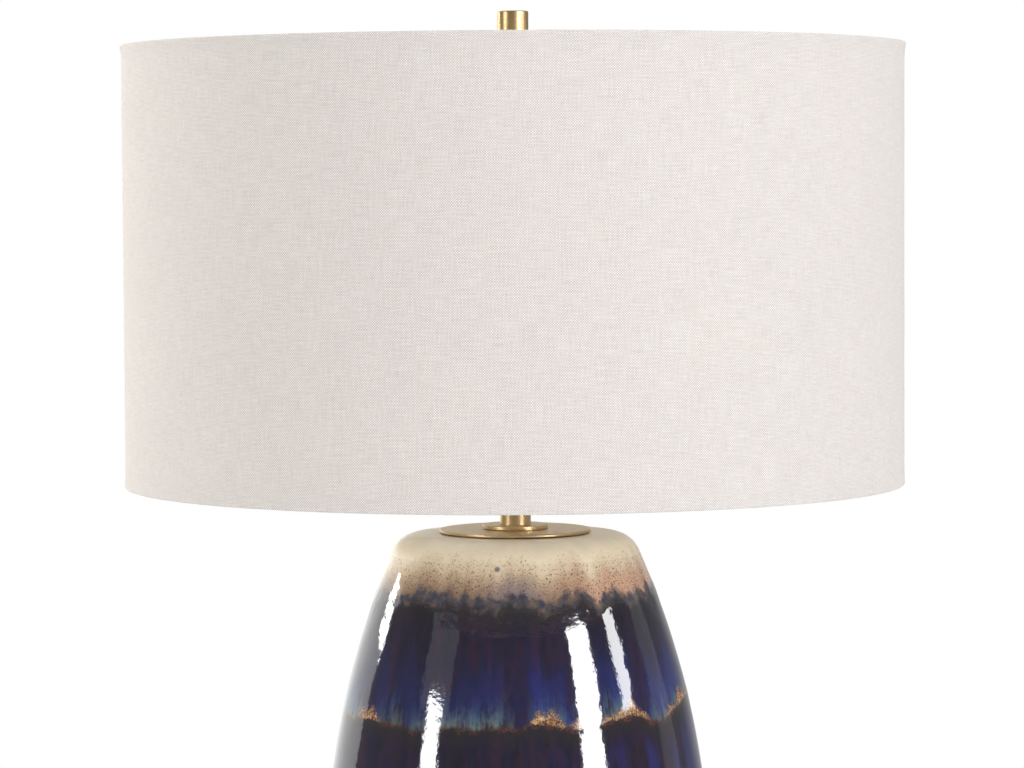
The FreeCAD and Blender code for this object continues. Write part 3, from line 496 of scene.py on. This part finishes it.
def dots(cell, low, high, largest, seed):
    """Round specks, one to a cell at most: every cell has one at the low height, and none at the high."""
    moved = glaze.node("Mapping", {"Vector": glaze.place, "Location": (seed, seed, seed)}).outputs[0]
    cells = glaze.node("TexVoronoi", {"Vector": moved, "Scale": 1.0 / cell})
    chance, size, _ = glaze.apart(cells.outputs["Color"])
    limit = glaze.node("MapRange", {"Value": over_cream, "From Min": low, "From Max": high}).outputs[0]
    there = glaze.step(glaze.maths("SUBTRACT", chance, limit), 0.0, 0.12)
    radius = glaze.maths("MULTIPLY_ADD", size, largest * 0.6, largest * 0.4)
    off = glaze.maths("SUBTRACT", shifted(cells.outputs["Distance"], ragged, 0.5), radius)
    return glaze.product(there, glaze.step(off, 0.14, -0.06))


grain = glaze.step(glaze.noise(0.8 * mm, 3.0, 0.7), 0.47, 0.66)
grain = glaze.product(grain, glaze.step(over_tear, 23.0, 4.0), 0.55)
cream = glaze.mix(grain, cream, tint(146, 110, 84))
for cell, low, high, largest, seed, amount, fleck in (
        (0.72 * mm, -4.0, 26.0, 0.50, 3.0, 0.60, tint(128, 88, 66)),
        (1.0 * mm, -3.0, 23.0, 0.42, 5.0, 0.72, tint(108, 66, 48)),
        (1.8 * mm, 0.0, 19.0, 0.25, 9.0, 0.80, tint(58, 42, 42))):
    cream = glaze.mix(glaze.product(dots(cell, low, high, largest, seed), amount), cream, fleck)

# one blue-grey drop low on the rounded shoulder, a little left of the front
round_centre, _ = corner_centre(upper_arc, body_top, shoulder_round)
drop_aside = 9.2 * mm
drop_reach = round_centre.x + shoulder_round * 0.992
drop_place = (-drop_aside, -math.sqrt(drop_reach**2 - drop_aside**2), round_centre.z + shoulder_round * 0.12)
drop_off = glaze.node("VectorMath", {0: glaze.place, 1: drop_place}, operation="DISTANCE").outputs["Value"]
drop = glaze.product(glaze.step(drop_off, 2.0 * mm, 1.1 * mm), 0.85)
cream = glaze.mix(drop, cream, tint(84, 84, 108))

# the cream's torn edge, where it thins out over the dark glaze
torn_colour = glaze.ramp(torn, [(0.40, tint(50, 52, 72)), (0.50, tint(70, 66, 72)),
                                (0.62, tint(104, 84, 72))])
torn_edge = glaze.mix(glaze.product(glaze.step(edge, -7.0, 0.0), 0.8), dark, torn_colour)
colour = glaze.mix(glaze.step(edge, 0.0, 3.5), torn_edge, cream)

# bare clay ring at the foot, with a rusty line where the glaze was wiped off
foot_line = glaze.step(shifted(z_mm, ragged, 1.6), 5.6, 5.0)
foot_rust = glaze.product(glaze.step(shifted(z_mm, torn, 6.0), 13.0, 5.0), 0.7)
colour = glaze.mix(foot_rust, colour, tint(112, 70, 48))
colour = glaze.mix(foot_line, colour, tint(192, 174, 148))

# glassy and a little uneven down the side, smoother and more satin on the shoulder and the top
off_top = glaze.step(z_mm, 404.0, 390.0)
glaze_relief = glaze.relief(glaze.product(glaze.noise(3.5 * mm, 2.0, 0.5), off_top), 0.05 * mm)
fine_relief = glaze.product(glaze.noise(1.3 * mm, 2.0, 0.5), off_top)
glaze_relief = glaze.relief(fine_relief, 0.008 * mm, glaze_relief)
satin = glaze.maths("MULTIPLY_ADD", glaze.step(z_mm, 395.0, 406.0), 0.28, 0.05)
satin = glaze.maths("MULTIPLY_ADD", froth, 0.12, satin)
glaze.feed(Base_Color=colour, Normal=glaze_relief,
           Roughness=glaze.maths("MULTIPLY_ADD", foot_line, 0.7, satin))

glazed_body = new_piece("glazed_body", bm, glaze.material, "base", sharp_above=50)
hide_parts("ceramic_body")

clay = Finish("bare_clay", Roughness=0.85)
clay_grain = clay.noise(0.8 * mm, 4.0, 0.7)
clay.feed(Base_Color=clay.ramp(clay_grain, [(0.3, tint(176, 158, 134)), (0.7, tint(206, 190, 166))]),
          Normal=clay.relief(clay_grain, 0.12 * mm))
glazed_body.data.materials.append(clay.material)
bare_depth, glazed_top, bare_foot = 4 * mm, 3 * mm, 1.2 * mm
for face in glazed_body.data.polygons:
    middle = face.center
    inside = math.hypot(middle.x, middle.y) < true_side(middle.z) - bare_depth
    if (inside and middle.z < body_top - glazed_top) or middle.z < body_bottom + bare_foot:
        face.material_index = 1


# ---------------------------------------------------------------- rod and hardware
# A threaded steel rod runs from the foot to the socket. A gasket, washer, lock washer and nut pull it tight
# under the body's floor, and two nylon sleeves centre it.
def metal(name, dark, light, roughness, grain=0.5 * mm, wear=0.06, **sockets):
    """A plated or drawn metal: clouded colour, fine grain and slightly uneven polish."""
    made = Finish(name, Metallic=1.0, **sockets)
    cloud = made.noise(7 * mm, 4.0, 0.6)
    fine = made.noise(grain, 3.0, 0.6)
    polish = made.maths("MULTIPLY_ADD", made.maths("SUBTRACT", fine, 0.5), wear * 2,
                        made.maths("MULTIPLY_ADD", cloud, wear, roughness - wear / 2))
    made.feed(Base_Color=made.ramp(cloud, [(0.3, dark), (0.7, light)]), Roughness=polish,
              Normal=made.relief(fine, 0.006 * mm))
    return made.material


def moulded(name, dark, light, roughness, grain=0.4 * mm, depth=0.01 * mm, **sockets):
    """A moulded or painted finish: faint mottling and a fine surface grain."""
    made = Finish(name, Roughness=roughness, **sockets)
    cloud = made.noise(6 * mm, 3.0, 0.6)
    made.feed(Base_Color=made.ramp(cloud, [(0.3, dark), (0.7, light)]),
              Normal=made.relief(made.noise(grain, 3.0, 0.6), depth))
    return made.material


dress(metal("zinc_plate", tint(158, 158, 160), tint(184, 184, 186), 0.34), "threaded_rod", "base_washer",
      "base_lock_washer", "base_nut", "saddle_locknut", "socket_set_screw", "terminal_screws")
dress(moulded("closed_cell_foam", tint(44, 42, 41), tint(62, 59, 56), 0.9, 0.5 * mm, 0.12 * mm),
      "base_gasket", "cap_gasket")
dress(moulded("natural_nylon", tint(204, 198, 184), tint(222, 217, 203), 0.45), "rod_bushings")
dress(moulded("black_plastic", tint(22, 21, 21), tint(32, 31, 31), 0.5, 0.35 * mm, 0.02 * mm), "cord_bushing")


# ---------------------------------------------------------------- brass fittings
# Vase cap, check ring, neck and finial are turned brass with a satin, slightly aged finish under clear
# lacquer. The lathe leaves fine rings on the flat faces and round the tubes. The one brass comes in two
# painted tones: lighter on the pieces under the shade, as painted light, and darker on the finial, as painted
# shade.
def turned_brass(name, dark, light, polish, lacquer):
    """Brass from the lathe: rings round its axis, a clouded and slightly spotted tone, a clear lacquer."""
    brass = Finish(name, Metallic=1.0, Coat_Weight=lacquer, Coat_Roughness=0.35)
    x, y, z = brass.apart(brass.place)
    radius = brass.maths("SQRT", brass.maths("MULTIPLY_ADD", x, x, brass.maths("MULTIPLY", y, y)))
    rings = brass.noise(0.22 * mm, 3.0, 0.6, brass.together(radius, 0.0, z))
    cloud = brass.noise(11 * mm, 4.0, 0.6)
    spots = brass.noise(1.2 * mm, 3.0, 0.6)
    mottle = brass.maths("MULTIPLY_ADD", spots, 0.3, brass.product(cloud, 0.7))
    evenness = brass.maths("MULTIPLY_ADD", rings, 0.03, polish)
    return brass.feed(Base_Color=brass.ramp(mottle, [(0.3, dark), (0.7, light)]),
                      Roughness=brass.maths("MULTIPLY_ADD", mottle, 0.05, evenness),
                      Normal=brass.relief(rings, 0.0004 * mm))


# painted light: the pieces under the shade get a lighter copy of the brass; the finial's copy below is
# painted darker, as painted shade
dress(turned_brass("brass_painted_lighter_under_shade", tint(200, 172, 126), tint(216, 190, 146), 0.32, 0.6),
      "vase_cap", "check_ring", "neck_tube")
dress(turned_brass("finial_brass_painted_darker", tint(167, 138, 94), tint(183, 156, 112), 0.30, 0.3), "finial")


# ---------------------------------------------------------------- socket
# A stamped brass shell and cap hold a card liner round a phenolic core. The core carries the screw shell, the
# centre contact and two terminals.
dress(metal("lacquered_brass", tint(172, 142, 84), tint(200, 170, 108), 0.16, wear=0.04), "socket_cap",
      "socket_shell")
dress(moulded("pressed_card", tint(184, 160, 120), tint(206, 184, 146), 0.85, 0.6 * mm, 0.06 * mm),
      "socket_liner")
dress(moulded("phenolic", tint(24, 22, 21), tint(36, 33, 32), 0.28), "socket_core")
dress(metal("bright_contact_brass", tint(184, 152, 88), tint(206, 176, 114), 0.2), "terminal_plates",
      "core_rivets", "screw_shell", "centre_contact")
dress(metal("plated_harp_brass", tint(160, 130, 78), tint(182, 152, 98), 0.26), "harp_saddle")


# ---------------------------------------------------------------- switch
# A phenolic rotor on a brass shaft, turned by a fluted moulded knob.
dress(bpy.data.materials["phenolic"], "switch_rotor")
dress(bpy.data.materials["bright_contact_brass"], "switch_shaft")
dress(bpy.data.materials["black_plastic"], "switch_knob")


# ---------------------------------------------------------------- bulb
# A light-emitting bulb: rolled screw cap, glass insulator and tip, white moulded housing and a milky globe.
# Inside are the plate with its chips and the driver board.
dress(bpy.data.materials["bright_contact_brass"], "bulb_tip_contact")
dress(moulded("black_glass", tint(20, 20, 24), tint(30, 30, 34), 0.12), "bulb_insulator")
dress(moulded("bulb_housing_white", tint(206, 206, 203), tint(216, 216, 213), 0.4), "bulb_housing")
dress(moulded("milky_diffuser", tint(218, 217, 212), tint(226, 225, 221), 0.3, Subsurface_Weight=0.3,
              Subsurface_Scale=0.004), "bulb_globe")
dress(moulded("white_solder_mask", tint(226, 226, 222), tint(238, 238, 234), 0.35), "bulb_led_plate")
dress(moulded("yellow_phosphor", tint(216, 178, 62), tint(236, 202, 84), 0.3), "bulb_leds")


def roll_thread(bm, radius, low, high, pitch, depth):
    """Presses a right-handed thread into the outer skin of a turned piece."""
    for v in bm.verts:
        reach = math.hypot(v.co.x, v.co.y)
        if low < v.co.z < high and reach > radius - 0.05 * mm:
            turn = v.co.z / pitch - math.atan2(v.co.y, v.co.x) / (2 * math.pi)
            run_out = min(1.0, (v.co.z - low) / pitch, (high - v.co.z) / pitch)
            share = 1 - depth * run_out * (0.5 - 0.5 * math.cos(2 * math.pi * turn)) / reach
            v.co.x, v.co.y = v.co.x * share, v.co.y * share
    bmesh.ops.recalc_face_normals(bm, faces=bm.faces[:])


cap_low, cap_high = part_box("bulb_screw_cap")
cap_radius, cap_wall, cap_taper = cap_high.x, 0.45 * mm, 1 * mm
cap_pitch, cap_groove = 3.63 * mm, 0.4 * mm
bm = bmesh.new()
start = bm.verts.new((cap_radius - cap_wall, 0, cap_low.z))
point = run_to(bm, start, cap_radius, cap_low.z + cap_taper, 3)
point = run_to(bm, point, cap_radius, cap_high.z, 80)
point = run_to(bm, point, cap_radius - cap_wall, cap_high.z)
point = run_to(bm, point, cap_radius - cap_wall, cap_low.z, 4)
bmesh.ops.remove_doubles(bm, verts=bm.verts[:], dist=1e-6)
turn_about_axis(bm, 96)
roll_thread(bm, cap_radius, cap_low.z + 1.2 * mm, cap_high.z - 0.5 * mm, cap_pitch, cap_groove)
aluminium = metal("rolled_aluminium", tint(176, 176, 178), tint(196, 196, 198), 0.3)
rolled_screw_cap = new_piece("rolled_screw_cap", bm, aluminium, "bulb", 60)
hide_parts("bulb_screw_cap")
dress(moulded("green_board", tint(28, 84, 52), tint(40, 102, 64), 0.3), "bulb_driver_board")


# ---------------------------------------------------------------- harp and its seat
# Brass-plated steel wire, bent to a loop and crimped in a turned crown. Two drawn sleeves lock its feet on
# the saddle, and the seat swivels on the crown and carries the shade.
harp_brass = bpy.data.materials["plated_harp_brass"]
dress(harp_brass, "harp_wire", "harp_crown", "right_harp_sleeve", "left_harp_sleeve")
seat_low, seat_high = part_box("harp_seat")
seat_radius, seat_thickness, seat_edge, pivot_radius = seat_high.x, 2 * mm, 0.4 * mm, 2.0 * mm
stud_radius, stud_length, stud_tip = 3.1 * mm, 12 * mm, 0.6 * mm
stud_pitch, stud_groove = 0.94 * mm, 0.35 * mm
seat_top = seat_high.z - stud_length
seat_bottom = seat_top - seat_thickness
bm = bmesh.new()
point = bm.verts.new((0, 0, seat_low.z))
point = run_to(bm, point, pivot_radius, seat_low.z)
point = run_to(bm, point, pivot_radius, seat_bottom)
point = run_to(bm, point, seat_radius - seat_edge, seat_bottom, 2)
point = spin_point(bm, point, (seat_radius - seat_edge, 0, seat_bottom + seat_edge), 90, 4)
point = run_to(bm, point, seat_radius, seat_top - seat_edge)
point = spin_point(bm, point, (seat_radius - seat_edge, 0, seat_top - seat_edge), 90, 4)
point = run_to(bm, point, stud_radius, seat_top, 2)
point = run_to(bm, point, stud_radius, seat_high.z - stud_tip, 96)
point = run_to(bm, point, stud_radius - stud_tip, seat_high.z)
run_to(bm, point, 0, seat_high.z)
turn_about_axis(bm, 48)
roll_thread(bm, stud_radius, seat_top + 1 * mm, seat_high.z - 0.7 * mm, stud_pitch, stud_groove)
threaded_seat = new_piece("threaded_seat", bm, harp_brass, "harp_seat", 50)
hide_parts("harp_seat")


# ---------------------------------------------------------------- shade frame and liner
# Powder-coated wire: two rings, and a fitter with a washer hub and three arms. The liner is a sheet of
# translucent styrene rolled into a drum.
dress(moulded("white_powder_coat", tint(220, 218, 212), tint(234, 232, 227), 0.45, 0.5 * mm, 0.03 * mm),
      "shade_top_ring", "shade_bottom_ring", "fitter_arms", "fitter_hub")


def light_through(finish, share, colour):
    """Lets this share of the light pass through a thin sheet."""
    through = finish.node("BsdfTranslucent", {"Color": colour})
    both = finish.node("MixShader", {0: share, 1: finish.shader.outputs[0], 2: through.outputs[0]})
    finish.tree.links.new(both.outputs[0], finish.tree.nodes["Material Output"].inputs["Surface"])


styrene = Finish("styrene_liner", Roughness=0.5)
styrene.feed(Base_Color=styrene.ramp(styrene.noise(6 * mm, 3.0, 0.6), [(0.3, tint(238, 235, 228)),
                                                                     (0.7, tint(244, 242, 236))]),
             Normal=styrene.relief(styrene.noise(0.8 * mm, 3.0, 0.6), 0.01 * mm))
light_through(styrene, 0.35, tint(248, 242, 232))
dress(styrene.material, "shade_liner")


# ---------------------------------------------------------------- linen cover
# One strip of fine plain-weave linen, laminated to the liner, lapped and glued at the back, and turned over
# both ring wires. The turned-in edge of the top hem is notched where the fitter's arms pass.
shade_low, shade_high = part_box("shade_fabric")
shade_radius = 203.2 * mm
cloth, liner, ring_wire = 0.6 * mm, 0.5 * mm, 1.5 * mm
hem_roll = cloth + (liner + 2 * ring_wire) / 2
hem_depth, hem_zone = 8 * mm, 9 * mm
top_flare, bottom_flare, flare_height = 0.85 * mm, 0.35 * mm, 8 * mm
lap, lap_glue = 12 * mm, 0.05 * mm
seam_angle = 97.0
arm_angles = (90.0, 210.0, 330.0)
lap_degrees = math.degrees(lap / shade_radius)

bm = bmesh.new()
across_layer, along_layer = [bm.verts.layers.float.new(name) for name in ("across", "along")]
inner_x, corner = shade_radius - 2 * hem_roll, 0.7 * mm
start = bm.verts.new((inner_x, 0, shade_high.z - hem_depth))
point = run_to(bm, start, inner_x, shade_high.z - corner, 4)
point = spin_point(bm, point, (inner_x + corner, 0, shade_high.z - corner), -90, 4)
point = run_to(bm, point, shade_radius - corner, shade_high.z, 2)
point = spin_point(bm, point, (shade_radius - corner, 0, shade_high.z - corner), -90, 4)
point = run_to(bm, point, shade_radius, shade_high.z - hem_zone, 6)
point = run_to(bm, point, shade_radius, shade_low.z + hem_zone, 40)
point = run_to(bm, point, shade_radius, shade_low.z + corner, 6)
point = spin_point(bm, point, (shade_radius - corner, 0, shade_low.z + corner), -90, 4)
point = run_to(bm, point, inner_x + corner, shade_low.z, 2)
point = spin_point(bm, point, (inner_x + corner, 0, shade_low.z + corner), -90, 4)
run_to(bm, point, inner_x, shade_low.z + hem_depth, 4)
edge, place = None, start
while any(e != edge for e in place.link_edges):
    edge = next(e for e in place.link_edges if e != edge)
    onward = edge.other_vert(place)
    onward[across_layer] = place[across_layer] + edge.calc_length()
    place = onward
rows, columns = len(bm.verts), 300
column_step = math.radians(360 + lap_degrees) / columns
bmesh.ops.rotate(bm, verts=bm.verts[:], cent=(0, 0, 0),
                 matrix=Matrix.Rotation(math.radians(seam_angle), 3, "Z"))
bmesh.ops.spin(bm, geom=bm.verts[:] + bm.edges[:], cent=(0, 0, 0), axis=(0, 0, 1),
               angle=column_step * columns, steps=columns)
bm.verts.index_update()
for v in bm.verts:
    v[along_layer] = v.index // rows * column_step * shade_radius
bmesh.ops.recalc_face_normals(bm, faces=bm.faces[:])

# a notch in the top hem's turned-in flap for each arm
notch_half, cut_half = 1.8 * mm, 8 * mm
for angle in arm_angles:
    direction = Vector((math.cos(math.radians(angle)), math.sin(math.radians(angle)), 0))
    aside = Vector((-direction.y, direction.x, 0))
    arm_place = direction * inner_x

    def by_arm(face, reach_aside):
        middle = face.calc_center_median()
        beside = abs((middle - arm_place).dot(aside)) < reach_aside
        turned_in = 0 < middle.dot(direction) < inner_x + 0.3 * mm
        return beside and turned_in and middle.z > shade_high.z - hem_depth - 1 * mm

    for side in (1, -1):
        flap = [f for f in bm.faces if by_arm(f, cut_half)]
        parts = {item for f in flap for item in (f, *f.edges, *f.verts)}
        bmesh.ops.bisect_plane(bm, geom=list(parts), plane_co=arm_place + aside * side * notch_half,
                               plane_no=aside, dist=1e-7)
    bmesh.ops.delete(bm, geom=[f for f in bm.faces if by_arm(f, notch_half)], context="FACES")

linen_uv = bm.loops.layers.uv.new("cloth")
for face in bm.faces:
    for loop in face.loops:
        loop[linen_uv].uv = (loop.vert[along_layer], loop.vert[across_layer])
bm.normal_update()
for v in bm.verts:
    reach = math.hypot(v.co.x, v.co.y)
    outward = Vector((v.co.x, v.co.y, 0)) / reach
    outer = min(max((reach - inner_x) / (2 * hem_roll), 0.0), 1.0)
    flare = top_flare * max(0.0, 1 - (shade_high.z - v.co.z) / flare_height) ** 1.5
    flare += bottom_flare * max(0.0, 1 - (v.co.z - shade_low.z) / flare_height) ** 1.5
    unevenness = 0.10 * mm * noise.noise(v.co * 22) + 0.05 * mm * noise.noise(v.co * 90)
    lapped = v[along_layer] > 2 * math.pi * shade_radius - column_step * shade_radius
    lift = cloth + lap_glue if lapped else 0.0
    v.co += outward * (flare + unevenness) * outer + v.normal * lift

linen = Finish("linen", Roughness=0.9, Specular_IOR_Level=0.25, Sheen_Weight=0.1, Sheen_Roughness=0.5)
along, across, _ = linen.apart(linen.node("UVMap", uv_map="cloth").outputs[0])
thread, thread_drift = 0.62 * mm, 1.6 * mm
drift_along = linen.noise(14 * mm, 2.0, vector=linen.together(along, across, 0.0))
drift_across = linen.noise(14 * mm, 2.0, vector=linen.together(along, across, 0.3))
warp_place = linen.maths("DIVIDE", linen.maths("MULTIPLY_ADD", drift_along, thread_drift, along), thread)
weft_place = linen.maths("DIVIDE", linen.maths("MULTIPLY_ADD", drift_across, thread_drift, across), thread)
warp_wave = linen.maths("SINE", linen.product(warp_place, math.pi))
weft_wave = linen.maths("SINE", linen.product(weft_place, math.pi))
warp_up = linen.step(linen.product(warp_wave, weft_wave), -0.12, 0.12)
warp_round, weft_round = linen.maths("ABSOLUTE", warp_wave), linen.maths("ABSOLUTE", weft_wave)
thread_top = linen.node("Mix", {0: warp_up, 2: weft_round, 3: warp_round}).outputs[0]
gap = linen.maths("SQRT", linen.product(warp_round, weft_round))
warp_thread = linen.together(linen.maths("FLOOR", warp_place), linen.product(across, 60.0), 0.0)
weft_thread = linen.together(linen.product(along, 60.0), linen.maths("FLOOR", weft_place), 5.0)
warp_tone = linen.noise(1.0, 2.0, 0.8, warp_thread)
weft_tone = linen.noise(1.0, 2.0, 0.8, weft_thread)
warp_colour = linen.ramp(warp_tone, [(0.25, tint(226, 221, 217)), (0.75, tint(252, 251, 248))])
weft_colour = linen.ramp(weft_tone, [(0.25, tint(167, 159, 155)), (0.75, tint(218, 211, 207))])
threads = linen.mix(warp_up, weft_colour, warp_colour)
shadow = linen.ramp(gap, [(0.0, tint(184, 175, 169)), (0.6, tint(255, 255, 255))])
linen_relief = linen.relief(linen.product(thread_top, gap), 0.10 * mm)
linen.feed(Base_Color=linen.mix(1.0, threads, shadow, "MULTIPLY"), Normal=linen_relief)
light_through(linen, 0.22, tint(240, 230, 220))
linen_cover = new_piece("linen_cover", bm, linen.material, "shade", sharp_above=60)
thicken = linen_cover.modifiers.new("cloth_thickness", "SOLIDIFY")
thicken.thickness = cloth
thicken.offset = -1
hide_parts("shade_fabric")


# ---------------------------------------------------------------- table, light and camera
# A pale round table top that fades out, soft boxes either side, a soft fill, and a long lens.
table_radius, fade_start, fade_end = 1.4, 0.35, 1.25
paint = Finish("pale_table", Roughness=0.6)
x, y, _ = paint.apart(paint.place)
from_lamp = paint.maths("SQRT", paint.maths("MULTIPLY_ADD", x, x, paint.product(y, y)))
table_tone = paint.ramp(paint.noise(0.3, 2.0), [(0.0, tint(226, 226, 224)), (1.0, tint(232, 232, 230))])
paint.feed(Base_Color=table_tone, Alpha=paint.step(from_lamp, fade_end, fade_start))
bm = bmesh.new()
bmesh.ops.create_circle(bm, cap_ends=True, segments=96, radius=table_radius)
table_top = as_object("table_top", bm)
table_top.data.materials.append(paint.material)
aim_height = 0.36


def soft_box(name, azimuth, elevation, away, width, height, radiance, gloss=True, diffuse=True,
             colour=(1.0, 1.0, 1.0)):
    """A lamp panel seen from the object at this azimuth, from the front to the right, and elevation."""
    panel = bpy.data.lights.new(name, "AREA")
    panel.shape = "RECTANGLE"
    panel.size, panel.size_y = width, height
    panel.color = colour
    panel.energy = radiance * math.pi * width * height
    holder = bpy.data.objects.new(name, panel)
    a, e = math.radians(azimuth), math.radians(elevation)
    direction = Vector((math.sin(a) * math.cos(e), -math.cos(a) * math.cos(e), math.sin(e)))
    place = Vector((0, 0, aim_height)) + direction * away
    holder.matrix_world = Matrix.LocRotScale(place, direction.to_track_quat("Z", "Y"), None)
    holder.visible_camera = False
    holder.visible_glossy = gloss
    holder.visible_diffuse = diffuse
    bpy.context.scene.collection.objects.link(holder)


soft_box("right_strip", 49, 20, 2.0, 0.5, 1.3, 22, diffuse=False)
soft_box("right_edge_strip", 80, 25, 2.0, 0.32, 0.98, 12, diffuse=False)
soft_box("left_strip", -56, 9, 2.0, 0.36, 0.50, 18, diffuse=False)
soft_box("left_edge_strip", -120, 13, 2.0, 0.40, 0.22, 14, diffuse=False)
soft_box("left_dim_panel", -57, 29, 2.0, 0.75, 1.1, 0.5, diffuse=False)
soft_box("right_dim_panel", 112, 15, 2.0, 0.6, 1.6, 0.3, diffuse=False)
soft_box("back_left_panel", -147, 28, 2.0, 2.5, 3.2, 1.35, diffuse=False, colour=(1.0, 1.0, 0.97))
soft_box("right_fill", 37, 15, 2.5, 1.6, 1.6, 3.9, gloss=False, colour=(0.92, 0.95, 1.0))
soft_box("left_edge_fill", -118, 15, 2.5, 1.2, 1.6, 6.9, gloss=False, colour=(1.0, 0.98, 0.92))

# The camera sees white behind the lamp. Matt surfaces are lit evenly from all round, and shiny ones reflect a
# dim room with a brighter back wall.
world = bpy.data.worlds.new("studio")
bpy.context.scene.world = world
world.use_nodes = True
sky = world.node_tree
sky.nodes.clear()
ray = add_node(sky, "LightPath").outputs
towards = add_node(sky, "SeparateXYZ", {0: add_node(sky, "TexCoord").outputs["Generated"]}).outputs
back_wall = add_node(sky, "MapRange", {"Value": towards["Y"], "From Min": 0.75, "From Max": 0.97,
                                       "To Min": 0.28, "To Max": 0.50}, interpolation_type="SMOOTHSTEP")
above = add_node(sky, "MapRange", {"Value": towards["Z"], "From Min": 0.02, "From Max": 0.07, "To Max": 0.28},
                 interpolation_type="SMOOTHSTEP")
straight_back = add_node(sky, "MapRange", {"Value": towards["Y"], "From Min": 0.85, "From Max": 0.98})
reflected = add_node(sky, "Math", {0: above.outputs[0], 1: straight_back.outputs[0], 2: back_wall.outputs[0]},
                     operation="MULTIPLY_ADD")
room = add_node(sky, "Mix", {0: ray["Is Glossy Ray"], 2: 1.23, 3: reflected.outputs[0]})
lit = add_node(sky, "Background", {"Color": room.outputs[0]})
seen = add_node(sky, "Background", {"Color": (1, 1, 1, 1)})
surface = add_node(sky, "MixShader", {0: ray["Is Camera Ray"], 1: lit.outputs[0], 2: seen.outputs[0]})
add_node(sky, "OutputWorld", {0: surface.outputs[0]})
bpy.context.scene.view_settings.view_transform = "Standard"

camera = bpy.data.objects.new("camera", bpy.data.cameras.new("camera"))
camera.data.lens = 137
camera.data.sensor_width = 36
camera.data.clip_end = 50
camera_away, camera_height = 2.038, 0.595
turn, look_down, roll = math.radians(0.037), math.radians(2.91), math.radians(-0.3)
camera.matrix_world = (Matrix.Translation((0, -camera_away, camera_height)) @ Matrix.Rotation(turn, 4, "Z")
                       @ Matrix.Rotation(math.radians(90) - look_down, 4, "X")
                       @ Matrix.Rotation(roll, 4, "Z"))
bpy.context.scene.collection.objects.link(camera)
bpy.context.scene.camera = camera
